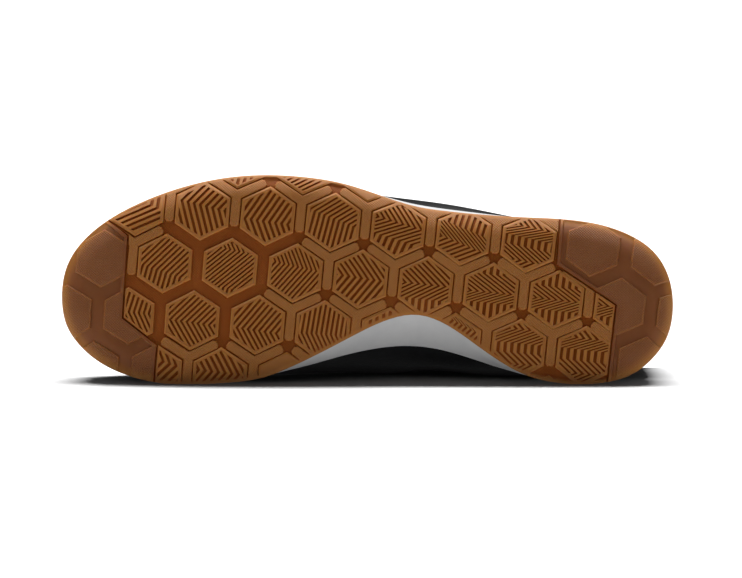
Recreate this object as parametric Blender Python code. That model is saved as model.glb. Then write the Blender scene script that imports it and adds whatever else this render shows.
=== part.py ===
"""A left low-top sneaker lying on its inner side, with its sole facing out.

Tables and sizes are in millimetres, measured on the standing shoe: x runs from the back of the
heel to the toe, y to the outer side, z up from the ground. The root lays the shoe down.
"""
import math

import bmesh
import bpy
import numpy as np
from mathutils import Matrix, Vector

for item in list(bpy.data.objects):
    bpy.data.objects.remove(item, do_unlink=True)

MM = 0.001
LENGTH = 298.2
STATIONS = 36
GAP = 0.3

# How the shoe lies: leaning back on its inner side, and turned a little along the floor.
LEAN = math.radians(13.0)
TURN = math.radians(-0.2)

# Ground line under the sole.
HEEL_BEVEL = 3.0
HEEL_BEVEL_END = 14.0
ARCH_LIFT = 2.5
ARCH_START = 85.0
ARCH_END = 170.0
TOE_SPRING = 12.0
TOE_SPRING_START = 215.0

# Heights above the ground line.
OUTSOLE = 6.5
FOREFOOT_STACK = 16.5
HEEL_STACK = 26.0
HEEL_STACK_END = 40.0
FOREFOOT_STACK_START = 215.0

# Sole outlines, outer and inner side.
# x, tread outer, tread inner, feather outer, feather inner
SOLE = (
    (0.0, -6.5, -6.5, -6.5, -6.5),
    (1.9, 6.4, -19.7, 5.6, -18.4),
    (8.0, 17.6, -30.8, 16.6, -28.6),
    (20.0, 26.8, -40.9, 25.7, -37.0),
    (36.0, 32.6, -45.4, 31.5, -40.6),
    (56.0, 35.4, -45.2, 35.0, -40.6),
    (76.0, 35.8, -39.5, 37.6, -38.2),
    (96.0, 36.8, -26.5, 40.4, -33.0),
    (112.0, 38.3, -15.5, 42.6, -28.0),
    (125.0, 40.7, -11.3, 44.8, -25.6),
    (140.0, 45.8, -14.0, 48.4, -25.6),
    (160.0, 52.3, -23.8, 53.0, -29.6),
    (180.0, 55.9, -34.0, 55.2, -35.0),
    (200.0, 56.9, -42.0, 55.6, -39.4),
    (220.0, 55.3, -44.7, 53.8, -41.4),
    (243.0, 50.0, -45.1, 48.4, -41.6),
    (262.0, 42.6, -41.8, 41.0, -39.2),
    (280.0, 32.3, -34.0, 30.8, -31.8),
    (292.0, 20.4, -23.0, 19.2, -21.4),
    (296.6, 10.8, -14.2, 9.8, -13.2),
    (298.2, -1.6, -1.6, -1.6, -1.6),
)
FEATHER_INSET = 1.2

# Upper: each row is a rib from the feather line to the top line, heel to toe.
# foot x, top x, top outer, top inner, top z, rise, lean outer, lean inner, reach, roof
UPPER = (
    (0.0, 6.0, -5.5, -5.5, 79.0, 20.0, 8.0, 8.0, 20.0, 84.0),
    (12.0, 10.5, 9.0, -20.0, 77.5, 20.0, 6.0, 3.0, 19.0, 84.0),
    (25.0, 21.0, 17.0, -27.5, 73.0, 18.0, 5.0, -1.0, 17.0, 83.0),
    (45.0, 42.0, 22.0, -32.0, 65.5, 15.0, 6.0, -4.0, 14.0, 80.0),
    (70.0, 66.0, 23.5, -32.8, 62.5, 14.0, 17.0, 2.0, 13.0, 74.0),
    (95.0, 90.0, 24.5, -31.4, 67.0, 17.0, 28.0, 20.0, 15.0, 66.0),
    (115.0, 110.0, 24.0, -27.0, 80.0, 23.0, 29.0, 32.0, 20.0, 56.0),
    (132.0, 126.0, 22.5, -22.5, 91.0, 28.0, 24.0, 31.0, 23.0, 48.0),
    (150.0, 140.0, 20.5, -18.0, 91.0, 29.0, 16.0, 24.0, 24.0, 41.0),
    (172.0, 156.0, 18.0, -14.0, 82.0, 27.0, 8.0, 12.0, 25.0, 34.0),
    (195.0, 172.0, 15.5, -10.5, 74.5, 25.0, 6.0, 4.0, 27.0, 28.0),
    (218.0, 184.0, 12.5, -7.0, 69.0, 24.0, 5.0, 1.0, 31.0, 23.0),
    (240.0, 191.0, 9.5, -4.0, 66.0, 23.0, 5.0, 1.0, 38.0, 18.0),
    (262.0, 195.5, 6.5, -1.5, 64.0, 22.0, 5.0, 2.0, 47.0, 14.0),
    (282.0, 197.5, 4.2, 0.5, 63.0, 21.0, 6.0, 5.0, 55.0, 12.0),
    (298.2, 198.3, 2.3, 2.3, 62.5, 20.0, 7.0, 7.0, 60.0, 11.0),
)
UPPER_INSET = 1.6
UPPER_WALL = 2.0
UPPER_RINGS = 12

INSOLE_THICK = 4.0
INSOLE_INSET = 4.6

# Tongue: sections from under the vamp to the free top.
# x, centre y, top z, half width, edge drop, thickness
TONGUE = (
    (209.0, 2.3, 58.05, 9.0, 0.6, 2.5),
    (198.0, 2.4, 60.0, 10.5, 1.5, 2.5),
    (190.0, 2.5, 63.0, 13.0, 4.4, 2.5),
    (172.0, 2.5, 73.6, 19.5, 7.6, 3.0),
    (156.0, 2.0, 81.6, 22.0, 9.4, 3.2),
    (140.0, 1.2, 90.8, 22.5, 13.2, 3.6),
    (126.0, 0.2, 98.6, 20.0, 14.5, 4.2),
    (115.0, 0.2, 105.6, 20.0, 11.5, 5.0),
    (101.0, 0.4, 114.5, 22.0, 10.0, 5.0),
    (96.5, 0.5, 117.2, 20.0, 8.0, 4.0),
)
TONGUE_COLUMNS = 10

# Lace: one flat bar for each pair of eyelets.
LACE_ROWS = (186.0, 174.5, 163.0, 151.5, 140.0)
LACE_WIDTH = 7.0
LACE_THICK = 1.4
LACE_CLEAR = 0.5
EYELET_BACK = 6.5

# Tread: a lattice of hexagon lugs, its rows running from toe to heel.
CHANNEL_DEPTH = 1.8
EDGE_ROLL = 10.5
EDGE_RISE = 5.4
EDGE_SWEEP = 1.7
ROW_ORIGIN = (152.4, 5.2)
ROW_STEP = (-31.9, -2.92)
ROW_SPACING = (2.44, -26.05)
ROW_BOW = -0.12
ROW_FAN = 0.24
HEX_HALF_WIDTH = 13.0
HEX_HALF_HEIGHT = 14.5
HEX_HALF_SIDE = 7.0
BAR_WIDTH = 3.6
BAR_LENGTH = 12.8
BAR_CHAMFER = 1.0

# Hexagons with a three-armed bar at their inner corner: row, first column, last column.
BARS = (
    (0, 0, 5),
    (1, -1, -1),
    (1, 2, 5),
    (2, 2, 6),
    (3, 0, 1),
)

# Grooves that set the toe and heel panels apart, from the outer edge to the inner edge.
SPLIT_WIDTH = 1.1
SPLIT_DEPTH = 2.6
TOE_SPLIT = ((280.0, 40.0), (266.3, 27.0), (268.4, -12.7), (252.5, -26.5), (254.2, -52.0))
HEEL_SPLIT = ((52.6, 44.0), (55.3, 11.9), (27.4, -7.5), (31.4, -54.0))

SLATE = (0.012, 0.012, 0.013, 1.0)
GUM = (0.36, 0.15, 0.05, 1.0)
WHITE = (0.75, 0.75, 0.74, 1.0)


def ground(x):
    """Height of the tread above the floor the shoe would stand on."""
    heel = np.clip((HEEL_BEVEL_END - x) / HEEL_BEVEL_END, 0.0, None)
    arch = np.clip((x - ARCH_START) / (ARCH_END - ARCH_START), 0.0, 1.0)
    toe = np.clip((x - TOE_SPRING_START) / (LENGTH - TOE_SPRING_START), 0.0, None)
    return HEEL_BEVEL * heel ** 2 + ARCH_LIFT * np.sin(math.pi * arch) ** 2 + TOE_SPRING * toe ** 2


def feather_height(x):
    """Height of the midsole's top, where the upper begins."""
    span = FOREFOOT_STACK_START - HEEL_STACK_END
    share = np.clip((FOREFOOT_STACK_START - x) / span, 0.0, 1.0)
    share = share * share * (3.0 - 2.0 * share)
    return ground(x) + FOREFOOT_STACK + (HEEL_STACK - FOREFOOT_STACK) * share


def around(table, outer, inner):
    """Smooth closed curve of one column: along the outer side to the toe, back along the inner."""
    angles = [math.acos(1.0 - 2.0 * row[0] / LENGTH) for row in table]
    knots = np.array(angles + [2.0 * math.pi - angle for angle in angles[-2:0:-1]])
    values = np.array([row[outer] for row in table] + [row[inner] for row in table[-2:0:-1]])
    count = len(knots)
    steps = np.diff(np.append(knots, 2.0 * math.pi))
    system = np.zeros((count, count))
    right = np.zeros(count)
    for i in range(count):
        before, after = (i - 1) % count, (i + 1) % count
        system[i, before] += steps[before]
        system[i, i] += 2.0 * (steps[before] + steps[i])
        system[i, after] += steps[i]
        right[i] = 6.0 * ((values[after] - values[i]) / steps[i]
                          - (values[i] - values[before]) / steps[before])
    bends = np.linalg.solve(system, right)

    def curve(angle):
        angle = np.asarray(angle) % (2.0 * math.pi)
        i = np.searchsorted(knots, angle, side="right") - 1
        after = (i + 1) % count
        step = steps[i]
        far = (angle - knots[i]) / step
        near = 1.0 - far
        bend = (near ** 3 - near) * bends[i] + (far ** 3 - far) * bends[after]
        return near * values[i] + far * values[after] + step * step / 6.0 * bend

    return curve


ANGLES = np.arange(2 * STATIONS) * math.pi / STATIONS
TREAD_LINE = around(SOLE, 1, 2)
FEATHER_LINE = around(SOLE, 3, 4)


def tread_outline(angle):
    return np.stack([LENGTH * (1.0 - np.cos(angle)) / 2.0, TREAD_LINE(angle)], axis=-1)


def feather_outline(angle):
    x = FEATHER_INSET + (LENGTH - 2.0 * FEATHER_INSET) * (1.0 - np.cos(angle)) / 2.0
    return np.stack([x, FEATHER_LINE(angle)], axis=-1)


def outward(outline, angle):
    """Unit normals of an outline seen from above."""
    along = outline(angle + 0.01) - outline(angle - 0.01)
    normal = np.stack([-along[:, 1], along[:, 0]], axis=-1)
    return normal / np.linalg.norm(normal, axis=1)[:, None]


def spread(outline, offset):
    return outline(ANGLES) + offset * outward(outline, ANGLES)


def raised(ring, height):
    return np.column_stack([ring, np.broadcast_to(height, len(ring))])


def make(name, points, faces, colour, roughness):
    """One closed solid with its own material, facing outward."""
    mesh = bpy.data.meshes.new(name)
    mesh.from_pydata([tuple(point * MM) for point in np.asarray(points)], [], faces)
    shape = bmesh.new()
    shape.from_mesh(mesh)
    bmesh.ops.recalc_face_normals(shape, faces=shape.faces)
    shape.to_mesh(mesh)
    shape.free()
    material = bpy.data.materials.new(name)
    material.use_nodes = True
    principled = material.node_tree.nodes["Principled BSDF"]
    principled.inputs["Base Color"].default_value = colour
    principled.inputs["Roughness"].default_value = roughness
    mesh.materials.append(material)
    solid = bpy.data.objects.new(name, mesh)
    bpy.context.collection.objects.link(solid)
    return solid


def closed_stack(rings):
    """Points and faces of rings laid one on another, capped across the first and the last."""
    size = len(rings[0])
    half = size // 2
    points = np.concatenate(rings)
    faces = []
    for k in range(len(rings) - 1):
        for i in range(size):
            j = (i + 1) % size
            faces.append((k * size + i, k * size + j, (k + 1) * size + j, (k + 1) * size + i))
    for base in (0, (len(rings) - 1) * size):
        for i in range(half):
            cap = [i, i + 1, size - i - 1, (size - i) % size]
            faces.append([base + corner for corner in dict.fromkeys(cap)])
    return points, faces


def prisms(outlines, low, high):
    """Points and faces of upright blocks standing on plane outlines."""
    points, faces = [], []
    for outline in outlines:
        base, size = len(points), len(outline)
        points += [(x, y, low) for x, y in outline] + [(x, y, high) for x, y in outline]
        faces.append([base + i for i in range(size)])
        faces.append([base + size + i for i in range(size)])
        for i in range(size):
            j = (i + 1) % size
            faces.append([base + i, base + j, base + size + j, base + size + i])
    return np.array(points), faces


def cut(solid, cutter):
    """Take one solid away from another and keep the result as the mesh."""
    cutter.hide_render = True
    cutter.display_type = "WIRE"
    knife = solid.modifiers.new("cut", "BOOLEAN")
    knife.operation = "DIFFERENCE"
    knife.solver = "EXACT"
    knife.object = cutter
    graph = bpy.context.evaluated_depsgraph_get()
    result = bpy.data.meshes.new_from_object(solid.evaluated_get(graph))
    solid.modifiers.clear()
    solid.data = result
    bpy.data.objects.remove(cutter, do_unlink=True)


def lattice(row, column):
    """Centre of a hexagon, with unit vectors along its row and across it to the inner side."""
    across = row - 2.0
    along = column + 0.5 * (row % 2) - 3.0
    centre = np.array(ROW_ORIGIN) + along * np.array(ROW_STEP) + across * np.array(ROW_SPACING)
    centre[1] += ROW_BOW * along ** 2 + ROW_FAN * along * across
    step = np.array(ROW_STEP) + (0.0, 2.0 * ROW_BOW * along + ROW_FAN * across)
    step /= np.linalg.norm(step)
    return centre, step, np.array((-step[1], step[0]))


def hexagon(row, column):
    centre, along, across = lattice(row, column)
    w, h, s = HEX_HALF_WIDTH, HEX_HALF_HEIGHT, HEX_HALF_SIDE
    corners = ((0.0, -h), (w, -s), (w, s), (0.0, h), (-w, s), (-w, -s))
    return [centre + u * along + v * across for u, v in corners]


def three_arm_bar(row, column):
    """Outline of the bar that fills the channels where three hexagons meet."""
    first = column - 1 + row % 2
    centres = [lattice(row, column)[0], lattice(row + 1, first)[0], lattice(row + 1, first + 1)[0]]
    middle = sum(centres) / 3.0
    arms = [(middle - centre) / np.linalg.norm(middle - centre) for centre in centres]
    arms.sort(key=lambda arm: math.atan2(arm[1], arm[0]))
    half = BAR_WIDTH / 2.0
    tip = BAR_LENGTH - BAR_CHAMFER
    shoulder = half - BAR_CHAMFER
    corners = []
    for i, out in enumerate(arms):
        side = np.array((-out[1], out[0]))
        after = arms[(i + 1) % 3]
        corners += [tip * out - half * side, BAR_LENGTH * out - shoulder * side]
        corners += [BAR_LENGTH * out + shoulder * side, tip * out + half * side]
        corners.append(half * (out + after) / (out[0] * after[1] - out[1] * after[0]))
    return [middle + corner for corner in corners]


def groove(line, width):
    """Outline of a strip of even width along an open line."""
    line = [np.array(point) for point in line]
    left, right = [], []
    for i, point in enumerate(line):
        before = line[max(i - 1, 0)]
        after = line[min(i + 1, len(line) - 1)]
        sides = []
        for start, end in ((before, point), (point, after)):
            run = end - start
            length = np.linalg.norm(run)
            if length > 0.0:
                sides.append(np.array((-run[1], run[0])) / length)
        mitre = sum(sides) / len(sides)
        mitre /= mitre @ sides[0]
        left.append(point + width / 2.0 * mitre)
        right.append(point - width / 2.0 * mitre)
    return left + right[::-1]


def block(name, outlines, low, high):
    points, faces = prisms(outlines, low, high)
    return make(name, points, faces, GUM, 0.6)


# Outsole: a slab with a rolled edge, cut down to the channel floor around the lugs, then bent
# to the ground line.
rings = []
for share in (0.0, 0.25, 0.5, 0.75, 1.0):
    ring = spread(tread_outline, EDGE_ROLL * (share - 1.0))
    rings.append(raised(ring, EDGE_RISE * share ** EDGE_SWEEP))
rings.append(raised(spread(tread_outline, -0.5), OUTSOLE))
outsole = make("outsole", *closed_stack(rings), GUM, 0.6)

station_x = tread_outline(ANGLES[:STATIONS + 1])[:, 0]
strip = [(-20.0, -80.0)] + [(x, -80.0) for x in station_x[1:-1]] + [(320.0, -80.0)]
points = [(x, y, z) for z in (-2.0, CHANNEL_DEPTH) for y in (-80.0, 90.0) for x, _ in strip]
size = len(strip)
faces = []
for i in range(size - 1):
    for a, b in ((0, 1), (1, 3), (3, 2), (2, 0)):
        faces.append((a * size + i, a * size + i + 1, b * size + i + 1, b * size + i))
for i in (0, size - 1):
    faces.append((i, size + i, 3 * size + i, 2 * size + i))
channels = make("channels", points, faces, GUM, 0.6)
lugs = []
for row in range(0, 6):
    for column in range(-3, 10):
        lugs.append(hexagon(row, column))
for row, first, last in BARS:
    for column in range(first, last + 1):
        lugs.append(three_arm_bar(row, column))
sole_box = ((-12.0, 310.0), (-60.0, 72.0))
lugs = [lug for lug in lugs
        if sole_box[0][0] < np.mean([p[0] for p in lug]) < sole_box[0][1]
        and sole_box[1][0] < np.mean([p[1] for p in lug]) < sole_box[1][1]]
cut(channels, block("lugs", lugs, -4.0, 4.0))
cut(outsole, channels)
splits = [groove(TOE_SPLIT, SPLIT_WIDTH), groove(HEEL_SPLIT, SPLIT_WIDTH)]
cut(outsole, block("splits", splits, -2.0, SPLIT_DEPTH))
for vertex in outsole.data.vertices:
    vertex.co.z += float(ground(vertex.co.x / MM)) * MM

# Midsole: a wall from the outsole's edge to the feather line, flaring at the waist.
rings = []
low = spread(tread_outline, -0.6)
high = spread(feather_outline, 0.0)
for share, inset in ((0.0, 0.7), (0.07, 0.0), (0.3, -0.3), (0.55, -0.4), (0.8, -0.2), (0.93, 0.2), (1.0, 1.4)):
    ring = (1.0 - share) * low + share * high - inset * outward(feather_outline, ANGLES)
    bottom = ground(ring[:, 0]) + OUTSOLE + GAP
    rings.append(raised(ring, bottom + share * (feather_height(ring[:, 0]) - bottom)))
midsole = make("midsole", *closed_stack(rings), WHITE, 0.6)

# Upper: ribs rise from the feather line and roll over to the collar and throat edge.
columns = {}
for name, outer, inner in (("x", 1, 1), ("y", 2, 3), ("z", 4, 4), ("rise", 5, 5),
                           ("lean", 6, 7), ("reach", 8, 8), ("roof", 9, 9)):
    columns[name] = around(UPPER, outer, inner)


def ribs(angle):
    """The four guide points of each rib at the given angles around the shoe."""
    angle = np.atleast_1d(angle)
    side = outward(feather_outline, angle)
    plan = feather_outline(angle) - UPPER_INSET * side
    foot = np.column_stack([plan, feather_height(plan[:, 0]) + GAP])
    top = np.column_stack([columns[name](angle) for name in ("x", "y", "z")])
    lean = np.radians(columns["lean"](angle))[:, None]
    rise = columns["rise"](angle)[:, None]
    roof = np.radians(columns["roof"](angle))[:, None]
    reach = columns["reach"](angle)[:, None]
    apart = plan - top[:, :2]
    apart /= np.linalg.norm(apart, axis=1)[:, None]
    first = foot + rise * np.hstack([side * np.sin(lean), np.cos(lean)])
    second = top + reach * np.hstack([apart * np.cos(roof), -np.sin(roof)])
    return foot, first, second, top


def rib_point(angle, share):
    foot, first, second, top = ribs(angle)
    rest = 1.0 - share
    return rest ** 3 * foot + 3.0 * rest ** 2 * share * first + 3.0 * rest * share ** 2 * second + share ** 3 * top


def wall_normal(angle, share):
    around_it = rib_point(angle + 0.004, share) - rib_point(angle - 0.004, share)
    up_it = rib_point(angle, min(share + 0.004, 1.0)) - rib_point(angle, max(share - 0.004, 0.0))
    normal = np.cross(up_it, around_it)
    return normal / np.linalg.norm(normal, axis=1)[:, None]


shares = np.linspace(0.0, 1.0, UPPER_RINGS)
outside = [rib_point(ANGLES, share) for share in shares]
inside = [ring - UPPER_WALL * wall_normal(ANGLES, share) for ring, share in zip(outside, shares)]
rings = outside + inside[::-1]
points = np.concatenate(rings)
size = len(ANGLES)
faces = []
for k in range(len(rings)):
    after = (k + 1) % len(rings)
    for i in range(size):
        j = (i + 1) % size
        faces.append((k * size + i, k * size + j, after * size + j, after * size + i))
upper = make("upper", points, faces, SLATE, 0.8)

# Insole: a footbed lying on the midsole inside the upper.
rings = []
for inset, height in ((0.8, 0.0), (0.0, 0.8), (0.0, INSOLE_THICK - 1.0), (1.2, INSOLE_THICK)):
    ring = spread(feather_outline, -INSOLE_INSET - inset)
    rings.append(raised(ring, feather_height(ring[:, 0]) + GAP + height))
insole = make("insole", *closed_stack(rings), (0.03, 0.03, 0.032, 1.0), 0.9)

# Tongue: arched sections, thick at the top.
points = []
for x, middle, top, half, drop, thick in TONGUE:
    across = np.linspace(-1.0, 1.0, TONGUE_COLUMNS + 1)
    edge = 1.0 - 0.75 * across ** 4
    upper_side = np.column_stack([np.full(len(across), x), middle + half * across, top - drop * across ** 2])
    under_side = upper_side - np.outer(thick * edge, (0.5, 0.0, 0.85))
    points.append(np.concatenate([upper_side, under_side[::-1]]))
size = len(points[0])
faces = []
for k in range(len(points) - 1):
    for i in range(size):
        j = (i + 1) % size
        faces.append((k * size + i, k * size + j, (k + 1) * size + j, (k + 1) * size + i))
for base in (0, (len(points) - 1) * size):
    for i in range(TONGUE_COLUMNS):
        faces.append((base + i, base + i + 1, base + size - i - 2, base + size - i - 1))
tongue = make("tongue", np.concatenate(points), faces, SLATE, 0.85)

# Lace: each bar runs from an outer eyelet over the tongue to the inner one.
throat = np.linspace(math.radians(60.0), math.radians(175.0), 460)
edge_shares = np.linspace(0.7, 1.0, 61)


def eyestay(row_x, side):
    """Points and normals on the wall beside the throat, from the eyelet to the throat's edge."""
    angles = throat if side > 0.0 else 2.0 * math.pi - throat
    sheet = np.stack([rib_point(angles, share) for share in edge_shares])
    edge_y = columns["y"](angles[np.argmin(abs(columns["x"](angles) - row_x))])
    leg = []
    for back in (EYELET_BACK, 0.5 * EYELET_BACK, 0.4):
        apart = np.hypot(sheet[:, :, 0] - row_x, sheet[:, :, 1] - edge_y - side * back)
        k, i = np.unravel_index(np.argmin(apart), apart.shape)
        normal = wall_normal(angles[i:i + 1], edge_shares[k])[0]
        leg.append((sheet[k, i] + (LACE_CLEAR + LACE_THICK / 2.0) * normal, normal))
    return leg


laces = []
crowns = np.array(TONGUE)[::-1]
for number, row_x in enumerate(LACE_ROWS, start=1):
    outer_leg = eyestay(row_x, 1.0)
    inner_leg = eyestay(row_x, -1.0)
    crown = np.interp(row_x, crowns[:, 0], crowns[:, 2]) + LACE_CLEAR + LACE_THICK / 2.0
    middle = (outer_leg[-1][0] + inner_leg[-1][0]) / 2.0
    middle[2] = max(crown, middle[2]) + 0.6
    over = (outer_leg[-1][1] + inner_leg[-1][1]) / 2.0
    route = outer_leg + [(middle, over / np.linalg.norm(over))] + inner_leg[::-1]
    points = []
    for i, (place, normal) in enumerate(route):
        run = route[min(i + 1, len(route) - 1)][0] - route[max(i - 1, 0)][0]
        wide = np.cross(run, normal)
        wide /= np.linalg.norm(wide)
        deep = np.cross(wide, run)
        deep /= np.linalg.norm(deep)
        for a, b in ((-1.0, -1.0), (1.0, -1.0), (1.0, 1.0), (-1.0, 1.0)):
            points.append(place + a * LACE_WIDTH / 2.0 * wide + b * LACE_THICK / 2.0 * deep)
    faces = [(0, 1, 2, 3), tuple(len(points) - 4 + i for i in range(4))]
    for k in range(len(route) - 1):
        for i in range(4):
            j = (i + 1) % 4
            faces.append((4 * k + i, 4 * k + j, 4 * k + 4 + j, 4 * k + 4 + i))
    laces.append(make(f"lace_{number}", np.array(points), faces, SLATE, 0.8))

# The shoe lies on its inner side: toe to -X, sole to -Y, outer side up.
root = bpy.data.objects.new("sneaker", None)
bpy.context.collection.objects.link(root)
lay = Matrix(((-1.0, 0.0, 0.0), (0.0, 0.0, 1.0), (0.0, 1.0, 0.0))).to_4x4()
turned = Matrix.Rotation(-LEAN, 4, "X") @ Matrix.Rotation(TURN, 4, "Y") @ lay
pieces = [outsole, midsole, upper, insole, tongue] + laces
placed = [turned @ vertex.co for piece in pieces for vertex in piece.data.vertices]
low = Vector([min(point[axis] for point in placed) for axis in range(3)])
high = Vector([max(point[axis] for point in placed) for axis in range(3)])
shift = Vector((-(low.x + high.x) / 2.0, -(low.y + high.y) / 2.0, -low.z))
root.matrix_world = Matrix.Translation(shift) @ turned
for piece in pieces:
    piece.parent = root
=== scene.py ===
"""A left low-top sneaker lying on its inner side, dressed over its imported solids.

Tables and sizes are in millimetres, measured on the standing shoe: x runs from the back of the
heel to the toe, y to the outer side, z up from the ground. LAY takes them to the frame, in metres.
"""

import math

import bmesh
import bpy
import numpy as np
from mathutils import Matrix, Vector
from mathutils.geometry import delaunay_2d_cdt


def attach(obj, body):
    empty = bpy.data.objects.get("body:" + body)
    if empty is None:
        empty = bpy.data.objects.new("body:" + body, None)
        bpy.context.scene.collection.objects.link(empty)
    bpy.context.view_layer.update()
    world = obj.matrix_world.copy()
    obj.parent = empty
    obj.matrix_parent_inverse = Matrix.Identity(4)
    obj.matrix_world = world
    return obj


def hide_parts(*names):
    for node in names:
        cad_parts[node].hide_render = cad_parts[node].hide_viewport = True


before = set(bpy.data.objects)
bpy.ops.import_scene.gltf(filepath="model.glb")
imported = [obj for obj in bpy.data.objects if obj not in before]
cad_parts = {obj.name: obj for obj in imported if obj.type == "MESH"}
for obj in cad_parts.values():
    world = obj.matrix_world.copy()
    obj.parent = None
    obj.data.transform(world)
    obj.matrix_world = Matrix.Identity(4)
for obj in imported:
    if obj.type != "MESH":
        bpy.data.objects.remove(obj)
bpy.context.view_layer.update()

# Outsole: gum rubber, moulded in one piece with a rolled edge and glued under the midsole.
# Grooved hexagon lugs stand in open channels, three-armed bars fill some of the channels, and
# two split grooves set the smooth toe and heel panels apart.
MM = 0.001
LENGTH = 298.2
SOLE_STATIONS = 130
OUTLINE_STEP = 0.01
OUTSOLE = 6.5
TINY = 1e-12

# How the shoe lies in the frame: leaning back on its inner side.
LEAN = math.radians(13.0)
TURN = math.radians(-0.2)
SHIFT = Vector((149.085, -53.366, 46.309))
ON_ITS_SIDE = Matrix(((-1.0, 0.0, 0.0), (0.0, 0.0, 1.0), (0.0, 1.0, 0.0))).to_4x4()
LAY = (Matrix.Translation(SHIFT * MM) @ Matrix.Rotation(-LEAN, 4, "X")
       @ Matrix.Rotation(TURN, 4, "Y") @ ON_ITS_SIDE)

# Ground line under the sole: bevelled heel, lifted arch, toe spring.
HEEL_BEVEL = 3.0
HEEL_BEVEL_END = 14.0
ARCH_LIFT = 2.5
ARCH_START = 85.0
ARCH_END = 170.0
TOE_SPRING = 12.0
TOE_SPRING_START = 215.0

# Sole outlines, outer and inner side.
# x, tread outer, tread inner, feather outer, feather inner
SOLE = (
    (0.0, -6.5, -6.5, -6.5, -6.5),
    (1.9, 6.4, -19.7, 5.6, -18.4),
    (8.0, 17.6, -30.8, 16.6, -28.6),
    (20.0, 26.8, -40.9, 25.7, -37.0),
    (36.0, 32.6, -45.4, 31.5, -40.6),
    (56.0, 35.4, -45.2, 36.0, -40.6),
    (76.0, 36.4, -39.5, 38.3, -38.0),
    (96.0, 37.9, -26.5, 40.9, -32.4),
    (112.0, 39.8, -15.5, 43.1, -27.8),
    (125.0, 42.0, -11.3, 45.2, -25.9),
    (140.0, 46.6, -14.0, 48.5, -26.4),
    (160.0, 53.0, -23.8, 53.0, -30.4),
    (180.0, 56.4, -34.0, 55.2, -35.7),
    (200.0, 57.4, -42.0, 55.6, -39.4),
    (220.0, 55.8, -44.7, 53.8, -41.4),
    (243.0, 50.5, -45.1, 48.4, -41.6),
    (262.0, 43.4, -41.6, 41.0, -39.2),
    (280.0, 33.2, -33.2, 30.8, -31.8),
    (292.0, 21.2, -21.6, 19.2, -21.4),
    (296.6, 11.6, -12.6, 9.8, -13.2),
    (298.2, -0.6, -0.6, -0.9, -0.9),
)

# Rolled edge, by its distance in from the outline.
EDGE_ROLL = 10.5
EDGE_RISE = 5.4
EDGE_SWEEP = 1.7
EDGE_NOSE = 8.0
ROLL_RINGS = (1.0, 0.985, 0.95, 0.9, 0.82, 0.72, 0.6, 0.45, 0.3, 0.15, 0.0)
RELIEF_FADE = (0.6, 2.8)
PANEL_FADE = (0.0, 1.8)
SPLIT_FADE = (-0.8, 1.2)

# Lattice of hexagon lugs, its rows running from toe to heel.
ROW_ORIGIN = (152.4, 5.4)
ROW_STEP = (-31.75, -3.12)
ROW_SPACING = (2.6, -26.35)
ROW_BOW = -0.12
ROW_FAN = 0.24
ORIGIN_ROW = 2.0
ORIGIN_COLUMN = 3.0
LATTICE_ROWS = range(0, 6)
LATTICE_COLUMNS = range(-3, 10)
LATTICE_X = (-12.0, 310.0)
LATTICE_Y = (-60.0, 72.0)
HEX_HALF_WIDTH = 13.0
HEX_HALF_HEIGHT = 14.6
HEX_HALF_SIDE = 7.05
BAR_WIDTH = 4.2
BAR_LENGTH = 15.3
BAR_CHAMFER = 1.0
BAR_DROP = 0.2
ARM_MEET = math.tan(math.radians(30.0))
STRIP_HEIGHT = 0.3
STRIP_RISE = (4.0, 10.0)

# Hexagons with a three-armed bar, or only a low strip, at their inner corner.
# row, first column, last column
BARS = ((0, 0, 6), (1, -1, -1), (1, 2, 6), (2, 2, 7), (3, 0, 2))
STRIPS = ((1, 0, 1),)

# Relief: channels, lug lips and walls, and the softer, lower relief of the panels, with the shares of
# painted shade in the recesses and painted highlight on edges, tops and the rolled edge.
CHANNEL_DEPTH = 1.8
GAP_DEPTH = 1.4
GAP_END = (0.9, 2.2)
# Painted shade, stronger in the narrow gaps beside the bars, and how far from a bar it fades.
GAP_SHADE = 0.75
GAP_SHADE_END = (1.2, 4.5)
LIP_WIDTH = 0.75
LIP_DEPTH = 0.5
BAR_LIP_WIDTH = 0.4
BAR_LIP_DEPTH = 0.25
WALL_DRAFT = 0.36
CHANNEL_GRAIN = 0.4
# Shares of painted golden highlight: lug edges, lug tops, ribs, bar edges and the rolled edge.
LUG_EDGE_HIGHLIGHT = 0.72
LUG_TOP_HIGHLIGHT = 0.4
RIB_HIGHLIGHT = 0.57
BAR_EDGE_HIGHLIGHT = 0.5
ROLL_HIGHLIGHT = 0.58
PANEL_DEPTH = 1.1
PANEL_DRAFT = 0.6
PANEL_RIM = 1.6
# Share of painted shade in the channels of the panels.
PANEL_SHADE = 0.3
PAD_INSET = 0.55
# Share of painted highlight on the edges of the panels' pads.
PAD_EDGE_HIGHLIGHT = 0.15
EDGE_SLACK = 0.01
# Painted shade: depths over which it grows in the channels, and its strength in slots and split grooves.
CHANNEL_SHADE = (0.3, 1.0)
SLOT_SHADE = 2.0
# How far the panels' pads lie off the lattice: in x and y, then more for each row past PAD_ROW.
PAD_ROW = 3
TOE_PADS = (-1.4, 0.9, 0.0, 0.0)
HEEL_PADS = (2.6, -1.2, 1.15, -1.5)

# Split grooves, from the outer edge to the inner edge.
SPLIT_WIDTH = 1.1
SPLIT_DEPTH = 1.4
SPLIT_DRAFT = 0.3
SPLIT_RIM = 1.2
TOE_SPLIT = ((280.0, 40.0), (265.5, 27.6), (268.2, -12.7), (251.3, -26.5), (253.9, -52.0))
HEEL_SPLIT = ((54.2, 44.0), (57.0, 11.9), (28.0, -7.8), (33.6, -54.0))

# Slots cut in the lugs: each lug repeats one bent line, step after step.
SLOT_RIM = 1.4
SLOT_SHARE = 0.54
SLOT_DEPTH = 0.9
SLOT_DRAFT = 0.28
SLOT_REACH = HEX_HALF_HEIGHT + 1.0
SLOT_REPEATS = 12
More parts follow.
